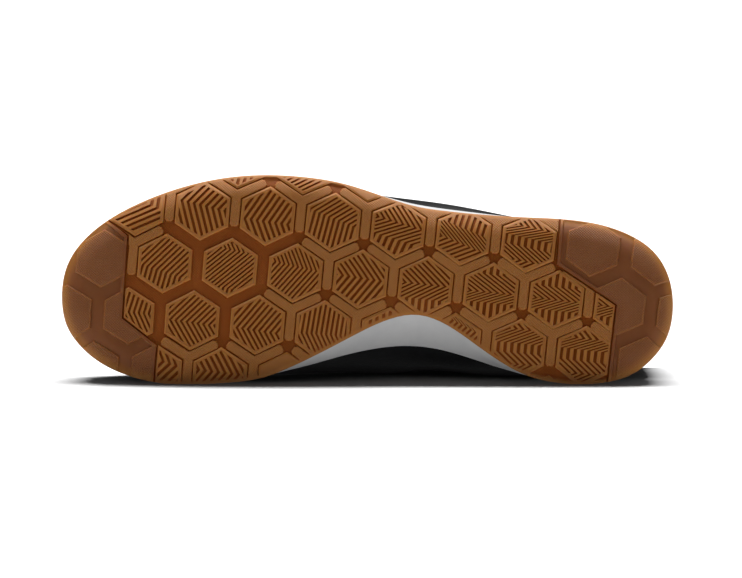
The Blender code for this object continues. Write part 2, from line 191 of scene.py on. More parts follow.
# row, column, step along and across the row, then the line's points along and across the row
SLOTS = (
    (0, 1, (3.0, 0.0), (1.5, 2.0), (-0.3, 12.0)),
    (0, 2, (2.1, 1.0), (12.0, 2.0), (-6.0, 14.0)),
    (1, -1, (3.0, 1.4), (7.2, -8.0), (6.8, -1.2), (-14.0, 9.2)),
    (1, 0, (3.05, 0.5), (4.5, -14.0), (-4.4, -3.2), (1.4, 14.0)),
    (1, 1, (3.0, 0.15), (4.4, -14.0), (-5.0, 2.6), (0.3, 14.0)),
    (1, 2, (2.43, 0.71), (5.2, -12.8), (-6.8, -3.8), (-9.6, 13.0)),
    (1, 3, (3.1, 0.6), (-8.4, -13.2), (-0.9, -3.2), (-14.2, 2.5), (-17.0, 11.0)),
    (1, 4, (2.83, 0.88), (-0.6, -12.0), (-2.1, -4.4), (9.4, 7.1), (-3.0, 13.2)),
    (1, 5, (3.3, 0.35), (-1.8, -12.5), (2.6, -7.6), (-11.2, -3.5), (-11.4, 0.8), (0.3, 9.1),
     (-5.0, 12.0)),
    (2, 0, (2.32, 0.67), (8.5, -13.0), (-5.9, 2.6), (-8.3, 14.0)),
    (2, 1, (2.25, 0.3), (-0.4, -12.5), (1.8, -8.5), (-16.0, 8.2), (-17.0, 14.0)),
    (2, 2, (2.24, 0.32), (-3.8, -13.5), (1.2, -3.1), (-11.6, 14.0)),
    (2, 3, (3.1, 0.15), (-10.0, -13.4), (0.6, -0.6), (-9.2, 13.8)),
    (2, 4, (3.25, 0.05), (-12.0, -13.7), (3.2, -0.6), (-8.6, 6.5), (-8.8, 14.0)),
    (2, 5, (3.25, 0.0), (-10.4, -14.0), (-10.7, -8.8), (3.5, 0.1), (-8.8, 5.4), (-8.8, 14.0)),
    (2, 6, (3.25, 0.0), (-7.0, -14.0), (-7.2, -6.2), (3.5, 0.2), (-9.0, 5.6), (-9.0, 14.0)),
    (2, 7, (3.25, 0.0), (-7.0, -14.0), (-7.2, -6.2), (3.5, 0.2), (-9.0, 5.6), (-9.0, 14.0)),
    (3, -1, (2.45, 0.15), (6.2, -14.0), (3.2, -2.4), (11.7, 14.0)),
    (3, 0, (2.73, 0.22), (11.0, -14.0), (-2.6, 0.9), (6.0, 14.0)),
    (3, 1, (2.75, 0.2), (7.6, -14.0), (-4.4, 2.5), (2.9, 14.0)),
    (3, 2, (2.35, -0.1), (-1.5, -14.0), (-2.9, 2.1), (4.2, 14.0)),
    (3, 3, (3.1, 0.0), (0.2, -14.0), (0.0, 4.0)),
    (3, 4, (2.3, 1.0), (-1.0, -13.5), (3.5, -9.1), (-4.0, -2.0)),
    (3, 5, (3.3, 0.0), (-3.0, -13.5), (1.5, -9.4), (-13.1, -2.4), (-13.1, 2.0), (-6.1, 7.4),
     (-13.0, 11.5)),
    (3, 6, (3.35, 0.0), (-2.5, -13.5), (2.6, -8.3), (-11.0, -2.6), (-11.0, 2.6), (-2.7, 8.8),
     (-10.0, 12.5)),
    (4, 0, (3.2, 0.9), (0.7, -14.0), (4.1, -6.2), (-10.0, 7.0)),
    (4, 1, (3.25, 0.15), (-7.5, -14.0), (-0.6, -2.6), (-12.0, 11.0)),
)


def ground(x):
    """Height of the tread above the floor the shoe would stand on."""
    heel = np.clip((HEEL_BEVEL_END - x) / HEEL_BEVEL_END, 0.0, None)
    arch = np.clip((x - ARCH_START) / (ARCH_END - ARCH_START), 0.0, 1.0)
    toe = np.clip((x - TOE_SPRING_START) / (LENGTH - TOE_SPRING_START), 0.0, None)
    return HEEL_BEVEL * heel ** 2 + ARCH_LIFT * np.sin(math.pi * arch) ** 2 + TOE_SPRING * toe ** 2


def around(table, outer, inner):
    """Smooth closed curve of one column: along the outer side to the toe, back along the inner."""
    angles = [math.acos(1.0 - 2.0 * row[0] / LENGTH) for row in table]
    knots = np.array(angles + [2.0 * math.pi - angle for angle in angles[-2:0:-1]])
    values = np.array([row[outer] for row in table] + [row[inner] for row in table[-2:0:-1]])
    count = len(knots)
    steps = np.diff(np.append(knots, 2.0 * math.pi))
    system = np.zeros((count, count))
    right = np.zeros(count)
    for i in range(count):
        before, after = (i - 1) % count, (i + 1) % count
        system[i, before] += steps[before]
        system[i, i] += 2.0 * (steps[before] + steps[i])
        system[i, after] += steps[i]
        right[i] = 6.0 * ((values[after] - values[i]) / steps[i]
                          - (values[i] - values[before]) / steps[before])
    bends = np.linalg.solve(system, right)

    def curve(angle):
        angle = np.asarray(angle) % (2.0 * math.pi)
        i = np.searchsorted(knots, angle, side="right") - 1
        after = (i + 1) % count
        step = steps[i]
        far = (angle - knots[i]) / step
        near = 1.0 - far
        bend = (near ** 3 - near) * bends[i] + (far ** 3 - far) * bends[after]
        return near * values[i] + far * values[after] + step * step / 6.0 * bend

    return curve


SOLE_ANGLES = np.arange(2 * SOLE_STATIONS) * math.pi / SOLE_STATIONS
TREAD_LINE = around(SOLE, 1, 2)


def tread_outline(angle):
    return np.stack([LENGTH * (1.0 - np.cos(angle)) / 2.0, TREAD_LINE(angle)], axis=-1)


def unit(vectors):
    """Vectors brought to a length of one."""
    return vectors / np.linalg.norm(vectors, axis=-1, keepdims=True)


def outward(outline, angle):
    """Unit normals of an outline seen from above."""
    along = outline(angle + OUTLINE_STEP) - outline(angle - OUTLINE_STEP)
    return unit(np.stack([-along[:, 1], along[:, 0]], axis=-1))


def spread(outline, offset):
    return outline(SOLE_ANGLES) + offset * outward(outline, SOLE_ANGLES)


def ease(low, high, value):
    """Smooth step from 0 at low to 1 at high."""
    share = np.clip((value - low) / (high - low), 0.0, 1.0)
    return share * share * (3.0 - 2.0 * share)


def apart_from(line, points):
    """Distance of points from a line of straight runs."""
    best = np.full(len(points), np.inf)
    for start, end in zip(line[:-1], line[1:]):
        start = np.asarray(start)
        run = np.asarray(end) - start
        share = np.clip((points - start) @ run / (run @ run), 0.0, 1.0)
        best = np.minimum(best, np.linalg.norm(points - start - share[:, None] * run, axis=1))
    return best


def lies_in(corners, points):
    """Which points lie inside a closed outline."""
    inside = np.zeros(len(points), bool)
    for (x0, y0), (x1, y1) in zip(corners, np.roll(corners, -1, axis=0)):
        spans = (y0 > points[:, 1]) != (y1 > points[:, 1])
        crossing = x0 + (points[:, 1] - y0) / (y1 - y0 + TINY) * (x1 - x0)
        inside ^= spans & (points[:, 0] < crossing)
    return inside


def depth_within(corners, points):
    """How far points lie inside a lug's straight sides, below zero outside."""
    corners = np.asarray(corners)
    sides = np.roll(corners, -1, axis=0) - corners
    inward = unit(np.stack([-sides[:, 1], sides[:, 0]], axis=1))
    if (corners.mean(axis=0) - corners[0]) @ inward[0] < 0.0:
        inward = -inward
    return np.min(points @ inward.T - np.sum(corners * inward, axis=1), axis=1)


def depth_within_any(outlines, points):
    return np.max([depth_within(corners, points) for corners in outlines], axis=0)


def grow(corners, offset):
    """A closed outline with every side moved outward."""
    corners = np.asarray(corners)
    sides = unit(np.roll(corners, -1, axis=0) - corners)
    turn = np.sum(corners[:, 0] * np.roll(corners[:, 1], -1) - np.roll(corners[:, 0], -1) * corners[:, 1])
    normals = np.stack([sides[:, 1], -sides[:, 0]], axis=1) * np.sign(turn)
    before = np.roll(normals, 1, axis=0)
    mitre = (normals + before) / (1.0 + np.sum(normals * before, axis=1))[:, None]
    return corners + offset * mitre


def lattice(row, column):
    """Centre of a hexagon, with unit vectors along its row and across it to the inner side."""
    across = row - ORIGIN_ROW
    along = column + 0.5 * (row % 2) - ORIGIN_COLUMN
    centre = np.array(ROW_ORIGIN) + along * np.array(ROW_STEP) + across * np.array(ROW_SPACING)
    centre[1] += ROW_BOW * along ** 2 + ROW_FAN * along * across
    step = unit(np.array(ROW_STEP) + (0.0, 2.0 * ROW_BOW * along + ROW_FAN * across))
    return centre, step, np.array((-step[1], step[0]))


def hexagon(row, column):
    centre, along, across = lattice(row, column)
    w, h, s = HEX_HALF_WIDTH, HEX_HALF_HEIGHT, HEX_HALF_SIDE
    corners = ((0.0, -h), (w, -s), (w, s), (0.0, h), (-w, s), (-w, -s))
    return np.array([centre + u * along + v * across for u, v in corners])


def bar_arms(row, column):
    """Middle of a three-armed bar and the directions of its arms."""
    first = column - 1 + row % 2
    centres = [lattice(row, column)[0], lattice(row + 1, first)[0], lattice(row + 1, first + 1)[0]]
    middle = sum(centres) / 3.0
    return middle, [unit(middle - centre) for centre in centres]


def three_arm_bar(row, column):
    """Outline of the bar that fills the channels where three hexagons meet."""
    middle, arms = bar_arms(row, column)
    arms.sort(key=lambda arm: math.atan2(arm[1], arm[0]))
    half = BAR_WIDTH / 2.0
    tip = BAR_LENGTH - BAR_CHAMFER
    shoulder = half - BAR_CHAMFER
    corners = []
    for i, out in enumerate(arms):
        side = np.array((-out[1], out[0]))
        after = arms[(i + 1) % 3]
        corners += [tip * out - half * side, BAR_LENGTH * out - shoulder * side]
        corners += [BAR_LENGTH * out + shoulder * side, tip * out + half * side]
        corners.append(half * (out + after) / (out[0] * after[1] - out[1] * after[0]))
    return np.array([middle + corner for corner in corners])


def depth_within_bar(row, column, points, count=3):
    """How far points lie inside the first arms of a bar, below zero outside."""
    middle, arms = bar_arms(row, column)
    half = BAR_WIDTH / 2.0
    best = np.full(len(points), -np.inf)
    for out in arms[:count]:
        along = (points - middle) @ out
        aside = half - abs((points - middle) @ np.array((-out[1], out[0])))
        ahead = BAR_LENGTH - along
        corner = (aside + ahead - BAR_CHAMFER) / math.sqrt(2.0)
        behind = along + half * ARM_MEET
        best = np.maximum(best, np.minimum.reduce([aside, ahead, corner, behind]))
    return best


def beside(line, offset):
    """A line of straight runs moved sideways, with mitred bends."""
    line = np.array(line)
    runs = unit(np.diff(line, axis=0))
    sides = np.column_stack([-runs[:, 1], runs[:, 0]])
    moved = []
    for i, point in enumerate(line):
        near = sides[max(i - 1, 0):i + 1]
        mitre = near.mean(axis=0)
        moved.append(point + offset * mitre / (mitre @ near[0]))
    return moved


HEXAGONS = {}
for row in LATTICE_ROWS:
    for column in LATTICE_COLUMNS:
        x, y = lattice(row, column)[0]
        if LATTICE_X[0] < x < LATTICE_X[1] and LATTICE_Y[0] < y < LATTICE_Y[1]:
            HEXAGONS[row, column] = hexagon(row, column)
BAR_PLACES = [(row, column) for row, first, last in BARS for column in range(first, last + 1)]
STRIP_PLACES = [(row, column) for row, first, last in STRIPS for column in range(first, last + 1)]
TOE_PAD_CORNERS, HEEL_PAD_CORNERS = [], []
for (row, column), corners in HEXAGONS.items():
    for pads, (x, y, row_x, row_y) in ((TOE_PAD_CORNERS, TOE_PADS), (HEEL_PAD_CORNERS, HEEL_PADS)):
        moved = corners + np.array((x + (row - PAD_ROW) * row_x, y + (row - PAD_ROW) * row_y))
        pads.append(grow(moved, -PAD_INSET))


def slot_axes(slot):
    """Axes of a lug's slots: its centre, the unit step, the unit across the step, pitch, bent line."""
    row, column, step, *line = slot
    centre, along, across = lattice(row, column)
    pitch = math.hypot(*step)
    ahead = (step[0] * along + step[1] * across) / pitch
    aside = (step[0] * across - step[1] * along) / pitch
    line = np.array([u * along + v * across for u, v in line])
    return centre, ahead, aside, pitch, line @ ahead, line @ aside


def lug_profile(within, top, floor, lip_width, lip_depth):
    """Depth below the tread's face across a lug's edge: chamfered rim, drafted wall and floor."""
    edge = top + lip_depth * np.clip(1.0 - within / lip_width, 0.0, 1.0)
    return edge + (floor - top - lip_depth) * np.clip(-within / WALL_DRAFT, 0.0, 1.0)


def split_x(split, points):
    """Where a split groove runs beside each point."""
    x, y = np.array(split)[::-1].T
    return np.interp(points[:, 1], y, x)


def relief(points):
    """Depth of the tread at points of its plane, and the masks of painted shade, painted highlight and
    grain that colour its rubber.
    """
    edge = apart_from(np.vstack([OUTLINE, OUTLINE[:1]]), points)
    within = depth_within_any(HEXAGONS.values(), points)
    in_bar = np.max([depth_within_bar(row, column, points) for row, column in BAR_PLACES], axis=0)
    bottom = GAP_DEPTH + (CHANNEL_DEPTH - GAP_DEPTH) * ease(*GAP_END, -in_bar)
    depth = np.minimum(lug_profile(within, 0.0, bottom, LIP_WIDTH, LIP_DEPTH),
                       lug_profile(in_bar, BAR_DROP, bottom, BAR_LIP_WIDTH, BAR_LIP_DEPTH))
    # Painted highlight: lug and bar edges golden, lug and bar tops a lighter share of it.
    painted_highlight = np.maximum(LUG_EDGE_HIGHLIGHT * np.clip(1.0 - abs(within) / LIP_WIDTH, 0.0, 1.0),
                     BAR_EDGE_HIGHLIGHT * np.clip(1.0 - abs(in_bar) / BAR_LIP_WIDTH, 0.0, 1.0))
    painted_highlight = np.maximum(painted_highlight, LUG_TOP_HIGHLIGHT * (np.maximum(within, in_bar) > -WALL_DRAFT / 2.0))
    grain = np.where(in_bar > -EDGE_SLACK, 1.0, CHANNEL_GRAIN * (within < -WALL_DRAFT))
    for row, column in STRIP_PLACES:
        middle, arms = bar_arms(row, column)
        rise = ease(*STRIP_RISE, (points - middle) @ arms[0])
        rise *= ease(-WALL_DRAFT, WALL_DRAFT, depth_within_bar(row, column, points, 1))
        depth -= STRIP_HEIGHT * rise * (within < -WALL_DRAFT)
        grain = np.maximum(grain, rise)

    toe = points[:, 0] > split_x(TOE_SPLIT, points)
    panel = toe | (points[:, 0] < split_x(HEEL_SPLIT, points))
    fade = np.where(panel, ease(*PANEL_FADE, edge), ease(*RELIEF_FADE, edge))
    split = np.minimum(apart_from(TOE_SPLIT, points), apart_from(HEEL_SPLIT, points))
    in_pad = np.where(toe, depth_within_any(TOE_PAD_CORNERS, points),
                      depth_within_any(HEEL_PAD_CORNERS, points))
    soft = PANEL_DEPTH * ease(0.0, PANEL_DRAFT, -in_pad)
    soft = np.minimum(soft, PANEL_DEPTH * ease(PANEL_RIM, PANEL_RIM + PANEL_DRAFT, split))
    depth = np.where(panel, soft, depth)
    # Painted shade: channels, the narrow gaps beside the bars and the panels' channels are coloured darker;
    # slots and split grooves darker still, below.
    gap_shade_weight = 1.0 + GAP_SHADE * (1.0 - ease(*GAP_SHADE_END, -in_bar))
    painted_shade = np.where(panel, PANEL_SHADE * depth / PANEL_DEPTH,
                    gap_shade_weight * ease(*CHANNEL_SHADE, depth / GAP_DEPTH))
    # Painted highlight on the edges of the panels' pads.
    painted_highlight = np.where(panel, PAD_EDGE_HIGHLIGHT * np.clip(1.0 - abs(in_pad) / LIP_WIDTH, 0.0, 1.0), painted_highlight)
    grain = np.where(panel, (in_pad > -EDGE_SLACK) & (split > PANEL_RIM), grain)

    for slot in SLOTS:
        centre, ahead, aside, pitch, line_ahead, line_aside = slot_axes(slot)
        local = points - centre
        near = (np.linalg.norm(local, axis=1) < SLOT_REACH) & ~panel
        along = local[near] @ ahead - np.interp(local[near] @ aside, line_aside, line_ahead)
        off = abs((along + pitch / 2.0) % pitch - pitch / 2.0)
        inside = SLOT_SHARE * pitch / 2.0 - off
        rim = depth_within(HEXAGONS[slot[:2]], points[near]) - SLOT_RIM
        inside = np.minimum(inside, np.minimum(rim, split[near] - SPLIT_RIM))
        cut = np.clip(inside / SLOT_DRAFT, 0.0, 1.0)
        depth[near] = np.maximum(depth[near], SLOT_DEPTH * cut)
        painted_shade[near] = np.maximum(painted_shade[near], SLOT_SHADE * cut)
        # Painted highlight, a lighter share, on the ribs between slots.
        ribbed = (rim > -EDGE_SLACK) & (split[near] > SPLIT_RIM)
        painted_highlight[near] = np.maximum(painted_highlight[near], RIB_HIGHLIGHT * ribbed * (1.0 - cut))

    groove = np.clip((SPLIT_WIDTH / 2.0 - split) / SPLIT_DRAFT, 0.0, 1.0)
    depth = np.maximum(fade * depth, ease(*SPLIT_FADE, edge) * SPLIT_DEPTH * groove)
    painted_shade = np.maximum(fade * painted_shade, ease(*SPLIT_FADE, edge) * SLOT_SHADE * groove)
    share = 1.0 - np.clip(edge / EDGE_ROLL, 0.0, 1.0)
    nose = 1.0 - np.sqrt(np.clip(1.0 - share ** EDGE_NOSE, 0.0, 1.0))
    roll = EDGE_RISE * share ** EDGE_SWEEP + (OUTSOLE - EDGE_RISE) * nose
    # Painted highlight along the rolled edge, strongest at the outline.
    painted_highlight = np.maximum(fade * painted_highlight, ROLL_HIGHLIGHT * ease(EDGE_ROLL / 2.0, 0.0, edge))
    return roll + depth, painted_shade, painted_highlight, fade * grain


# The tread is one net of triangles through every crease line, each point then sunk to its depth.
OUTLINE = spread(tread_outline, 0.0)
NET_REACH = 2.0
NET_STEP = 6.0
NET_SIDES = (-48.0, 60.0)
NET_WELD = 1e-4
CLIP_STEPS = 40
TOE_PANEL_START = 250.0
HEEL_PANEL_END = 58.0
creases = []


def add_line(points):
    creases.extend(zip(points[:-1], points[1:]))


def add_ring(points):
    add_line(np.vstack([points, points[:1]]))


for share in ROLL_RINGS:
    add_ring(spread(tread_outline, EDGE_ROLL * (share - 1.0)))
reach = grow(OUTLINE, NET_REACH)
for corners in HEXAGONS.values():
    for offset in (-LIP_WIDTH, 0.0, WALL_DRAFT):
        add_ring(grow(corners, offset))
for pads, heel_end, toe_end in ((TOE_PAD_CORNERS, TOE_PANEL_START, LENGTH),
                                (HEEL_PAD_CORNERS, 0.0, HEEL_PANEL_END)):
    for corners in pads:
        if corners[:, 0].max() > heel_end and corners[:, 0].min() < toe_end:
            for offset in (-LIP_WIDTH, 0.0, PANEL_DRAFT / 2.0, PANEL_DRAFT):
                add_ring(grow(corners, offset))
for row, column in BAR_PLACES + STRIP_PLACES:
    for offset in (-BAR_LIP_WIDTH, 0.0, WALL_DRAFT):
        add_ring(grow(three_arm_bar(row, column), offset))
for line in (TOE_SPLIT, HEEL_SPLIT):
    for offset in (SPLIT_WIDTH / 2.0 - SPLIT_DRAFT, SPLIT_WIDTH / 2.0, SPLIT_RIM, SPLIT_RIM + SLOT_DRAFT,
                   PANEL_RIM, PANEL_RIM + PANEL_DRAFT):
        add_line(beside(line, offset))
        add_line(beside(line, -offset))
shares = np.linspace(0.0, 1.0, CLIP_STEPS + 1)[:, None]
for slot in SLOTS:
    centre, ahead, aside, pitch, line_ahead, line_aside = slot_axes(slot)
    rim = grow(HEXAGONS[slot[:2]], -SLOT_RIM)
    add_ring(rim)
    add_ring(grow(rim, -SLOT_DRAFT))
    half = SLOT_SHARE * pitch / 2.0
    for k in range(-SLOT_REPEATS, SLOT_REPEATS + 1):
        for offset in (-half, SLOT_DRAFT - half, half - SLOT_DRAFT, half):
            bent = (line_ahead + k * pitch + offset)[:, None] * ahead + line_aside[:, None] * aside + centre
            for start, end in zip(bent[:-1], bent[1:]):
                inside = np.flatnonzero(depth_within(rim, start + shares * (end - start)) > 0.0)
                if len(inside):
                    first = max(inside[0] / CLIP_STEPS - 1.0 / CLIP_STEPS, 0.0)
                    last = min(inside[-1] / CLIP_STEPS + 1.0 / CLIP_STEPS, 1.0)
                    creases.append((start + first * (end - start), start + last * (end - start)))
creases = np.array(creases)
creases = creases[lies_in(reach, creases[:, 0]) | lies_in(reach, creases[:, 1])]
columns = np.arange(NET_STEP / 2.0, LENGTH, NET_STEP)
grid = np.stack(np.meshgrid(columns, np.arange(*NET_SIDES, NET_STEP)), axis=-1).reshape(-1, 2)
grid = grid[lies_in(OUTLINE, grid)]
loose = [Vector(point) for point in np.vstack([creases.reshape(-1, 2), grid])]
pairs = [(2 * i, 2 * i + 1) for i in range(len(creases))]
net = delaunay_2d_cdt(loose, pairs, [], 1, NET_WELD)
flat = np.array([tuple(point) for point in net[0]])
triangles = np.array([face for face in net[2] if len(face) == 3])
triangles = triangles[lies_in(OUTLINE, flat[triangles].mean(axis=1))]
used, triangles = np.unique(triangles, return_inverse=True)
triangles = triangles.reshape(-1, 3)
flat = flat[used]
depth, painted_shade, painted_highlight, grain = relief(flat)
tread = np.column_stack([flat, depth + ground(flat[:, 0])])


class Shade:
    """A socket of a finish. Operators on it add Math nodes, and add() makes any other node."""

    def __init__(self, tree, socket=None):
        self.tree = tree
        self.socket = socket

    def wire(self, node, inputs):
        """Set a node's sockets to values or links."""
        for name, value in inputs.items():
            if isinstance(value, Shade):
                self.tree.links.new(value.socket, node.inputs[name])
            else:
                node.inputs[name].default_value = value

    def add(self, kind, settings=None, inputs=None, output=0):
        node = self.tree.nodes.new("ShaderNode" + kind)
        for name, value in (settings or {}).items():
            setattr(node, name, value)
        self.wire(node, inputs or {})
        return Shade(self.tree, node.outputs[output])

    def maths(self, operation, first, second=0.0):
        return self.add("Math", {"operation": operation}, {0: first, 1: second})

    def __add__(self, other):
        return self.maths("ADD", self, other)

    def __sub__(self, other):
        return self.maths("SUBTRACT", self, other)

    def __rsub__(self, other):
        return self.maths("SUBTRACT", other, self)

    def __mul__(self, other):
        return self.maths("MULTIPLY", self, other)

    __radd__ = __add__
    __rmul__ = __mul__

    def mix(self, low, high):
        """Colour between two colours, by this share."""
        return self.add("Mix", {"data_type": "RGBA"}, {0: self, 6: low, 7: high}, 2)

    def noise(self, scale, detail=2.0):
        """Cloudy noise over this place, with features of 1 / scale metres."""
        return self.add("TexNoise", None, {"Vector": self, "Scale": scale, "Detail": detail})

    def smooth(self, low, high):
        """Smooth step from 0 at low to 1 at high."""
        return self.add("MapRange", {"interpolation_type": "SMOOTHSTEP"},
                        {"Value": self, "From Min": low, "From Max": high})

    def axis(self, name):
        return self.add("SeparateXYZ", None, {0: self}, name)

    def mask(self, name):
        """The values that set_mask() stored on the piece."""
        return self.add("Attribute", {"attribute_name": name}, output="Fac")

    def sine(self):
        return self.maths("SINE", self)

    def checks(self, pitch):
        """Crossed waves over this place, a pitch in millimetres apart."""
        waves = 2.0 * math.pi / (pitch * MM)
        return (self.axis("X") * waves).sine() * (self.axis("Y") * waves).sine()

    def bump(self, strength, distance):
        return self.add("Bump", None, {"Height": self, "Strength": strength, "Distance": distance})


def new_finish(name):
    """A material, its place on the standing shoe as a Shade, and its shader."""
    material = bpy.data.materials.new(name)
    material.use_nodes = True
    place = Shade(material.node_tree).add("TexCoord", output="Object")
    place = place.add("Mapping", {"vector_type": "TEXTURE"},
                      {"Vector": place, "Location": LAY.translation, "Rotation": LAY.to_euler()})
    return material, place, material.node_tree.nodes["Principled BSDF"]


def shoe_piece(name, points, faces, slot, *finishes, sharp=30.0, replaced=()):
    """A piece from points on the standing shoe, laid in the frame and riding on the shoe's body."""
    mesh = bpy.data.meshes.new(name)
    mesh.from_pydata((np.asarray(points) * MM).tolist(), [], faces)
    mesh.validate()
    mesh.transform(LAY)
    shape = bmesh.new()
    shape.from_mesh(mesh)
    bmesh.ops.recalc_face_normals(shape, faces=shape.faces)
    shape.to_mesh(mesh)
    shape.free()
    for finish in finishes:
        mesh.materials.append(finish)
    mesh.shade_smooth()
    mesh.set_sharp_from_angle(angle=math.radians(sharp))
    piece = bpy.data.objects.new(name, mesh)
    bpy.context.collection.objects.link(piece)
    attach(piece, "root")
    if replaced:
        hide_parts(*replaced)
    return piece


def resting(points):
    """Points of a piece, pressed flat where they would sink into the floor."""
    turn = np.array(LAY.to_3x3())
    laid = points @ turn.T + np.array(SHIFT)
    return points + np.outer(np.clip(FLOOR_CLEAR - laid[:, 2], 0.0, None), turn[2])


def set_mask(piece, name, values):
    """Store a value for each point of a piece, for its finish to read."""
    stored = piece.data.attributes.new(name, "FLOAT", "POINT")
    stored.data.foreach_set("value", np.asarray(values, np.float32))


GUM_FACE = (0.166, 0.0565, 0.0182, 1.0)
# Painted shade for channels and gaps, and a darker one for slots and split grooves.
GUM_SHADE = (0.222, 0.055, 0.0052, 1.0)
GUM_SLOT_SHADE = (0.178, 0.0425, 0.0018, 1.0)
# Painted golden highlight for edges, tops, ribs and the rolled edge.
GUM_HIGHLIGHT = (0.44, 0.184, 0.036, 1.0)
GUM_PALE = (0.182, 0.065, 0.0225, 1.0)
CHANNEL_SHADE_RAMP = (0.15, 0.9)
SLOT_SHADE_RAMP = (1.0, 1.8)
GRAIN_TINT = 0.22
GRAIN_PITCH = 1.3
GLOW_DEPTH = 1.5
FLOOR_CLEAR = 0.05

gum, place, shader = new_finish("gum_rubber")
painted_shade_mask = place.mask("painted_shade")
grain_mask = place.mask("grain")
knurl = place.checks(GRAIN_PITCH)
colour = place.noise(60.0, 3.0).smooth(0.3, 0.7).mix(GUM_FACE, GUM_PALE)
# Painted highlight: golden on lug, bar and pad edges and the rolled edge, a lighter share on lug tops and
# ribs.
colour = place.mask("painted_highlight").mix(colour, GUM_HIGHLIGHT)
# Painted shade: darker in channels and gaps, darker still in slots and split grooves.
colour = painted_shade_mask.smooth(*CHANNEL_SHADE_RAMP).mix(colour, GUM_SHADE)
colour = painted_shade_mask.smooth(*SLOT_SHADE_RAMP).mix(colour, GUM_SLOT_SHADE)
colour = ((grain_mask * knurl).smooth(0.0, 0.9) * GRAIN_TINT).mix(colour, GUM_HIGHLIGHT)
height = knurl * grain_mask * 1.8 + place.noise(2600.0, 1.0) * 0.35
place.wire(shader, {
    "Base Color": colour,
    "Roughness": place.noise(400.0) * 0.12 + 0.48 + painted_shade_mask * 0.1,
    "Specular IOR Level": 0.13,
    "Subsurface Weight": 0.45,
    "Subsurface Radius": (1.0, 0.32, 0.06),
    "Subsurface Scale": GLOW_DEPTH * MM,
    "Normal": height.bump(0.6, 0.1 * MM),
})

edges = np.sort(np.vstack([triangles[:, [0, 1]], triangles[:, [1, 2]], triangles[:, [2, 0]]]), axis=1)
pair, times = np.unique(edges, axis=0, return_counts=True)
neighbours = {}
for a, b in pair[times == 1]:
    neighbours.setdefault(int(a), []).append(int(b))
    neighbours.setdefault(int(b), []).append(int(a))
glued = [min(neighbours)]
while len(glued) < len(neighbours):
    glued.append(next(other for other in neighbours[glued[-1]] if other not in glued[-2:]))
faces = triangles[:, ::-1].tolist() + [glued]
outsole = shoe_piece("outsole_tread", resting(tread), faces, "outsole", gum,
                     sharp=24.0, replaced=("outsole",))
set_mask(outsole, "painted_shade", painted_shade)
set_mask(outsole, "painted_highlight", painted_highlight)
set_mask(outsole, "grain", grain)

# Midsole: white foam, moulded as one wedge and glued between outsole and upper. Its wall flares out
# past the outsole at the waist, and a fine groove runs round it just below the upper.
FOREFOOT_STACK = 16.5
FOREFOOT_STACK_START = 215.0
HEEL_STACK = 26.0
HEEL_STACK_END = 40.0
FEATHER_INSET = 1.2
MIDSOLE_FOOT = 0.05
MIDSOLE_TUCK = 0.6
FOAM_WHITE = (0.515, 0.515, 0.515, 1.0)
FOAM_GREY = (0.48, 0.48, 0.484, 1.0)
# share of the wall's height, inset
MIDSOLE_WALL = (
    (0.0, 0.9), (0.02, 0.3), (0.06, 0.0), (0.18, -0.2), (0.3, -0.3), (0.45, -0.38), (0.6, -0.38),
    (0.72, -0.28), (0.8, -0.15), (0.835, -0.08), (0.85, 0.3), (0.865, 0.3), (0.88, 0.0), (0.93, 0.15),
    (0.965, 0.4), (0.988, 0.8), (1.0, 1.6),
)
FEATHER_LINE = around(SOLE, 3, 4)


def feather_outline(angle):
    x = FEATHER_INSET + (LENGTH - 2.0 * FEATHER_INSET) * (1.0 - np.cos(angle)) / 2.0
    return np.stack([x, FEATHER_LINE(angle)], axis=-1)


def feather_height(x):
    """Height of the midsole's top, where the upper begins."""
    share = ease(FOREFOOT_STACK_START, HEEL_STACK_END, x)
    return ground(x) + FOREFOOT_STACK + (HEEL_STACK - FOREFOOT_STACK) * share


def raised(ring, height):
    return np.column_stack([ring, np.broadcast_to(height, len(ring))])


def skin(rows, columns, tube=False):
    """Faces of a stack of rings, with the last ring joined to the first in a tube."""
    faces = []
    for k in range(rows if tube else rows - 1):
        after = (k + 1) % rows
        for i in range(columns):
            j = (i + 1) % columns
            faces.append((k * columns + i, k * columns + j, after * columns + j, after * columns + i))
    return faces


def lidded(rows, columns):
    """Faces of a stack of rings, closed across its first and its last ring."""
    faces = skin(rows, columns)
    for base in (0, (rows - 1) * columns):
        for i in range(columns // 2):
            lid = [i, i + 1, columns - i - 1, (columns - i) % columns]
            faces.append([base + corner for corner in dict.fromkeys(lid)])
    return faces


foam, place, shader = new_finish("white_foam")
mottle = place.noise(90.0, 3.0)
pores = place.noise(1500.0, 2.0)
place.wire(shader, {
    "Base Color": mottle.smooth(0.35, 0.7).mix(FOAM_WHITE, FOAM_GREY),
    "Roughness": pores * 0.15 + 0.45,
    "Normal": (pores + mottle).bump(0.25, 0.15 * MM),
})
rings = []
low = spread(tread_outline, -MIDSOLE_TUCK)
high = spread(feather_outline, 0.0)
for share, inset in MIDSOLE_WALL:
    ring = (1.0 - share) * low + share * high - inset * outward(feather_outline, SOLE_ANGLES)
    bottom = ground(ring[:, 0]) + OUTSOLE + MIDSOLE_FOOT
    rings.append(raised(ring, bottom + share * (feather_height(ring[:, 0]) - bottom)))
shoe_piece("midsole_wall", np.concatenate(rings), lidded(len(rings), len(SOLE_ANGLES)), "midsole", foam,
           sharp=50.0, replaced=("midsole",))

# Insole: a loose footbed of foam with a woven black face, cut to the inside of the upper.
# It lies on the midsole without glue and dips a little under the foot.
INSOLE_THICK = 4.0
INSOLE_INSET = 4.6
INSOLE_CUP = 1.2
INSOLE_WEAVE = 1.3
FOOTBED_BLACK = (0.022, 0.022, 0.024, 1.0)
FOOTBED_GREY = (0.04, 0.04, 0.043, 1.0)
PIECE_GAP = 0.3
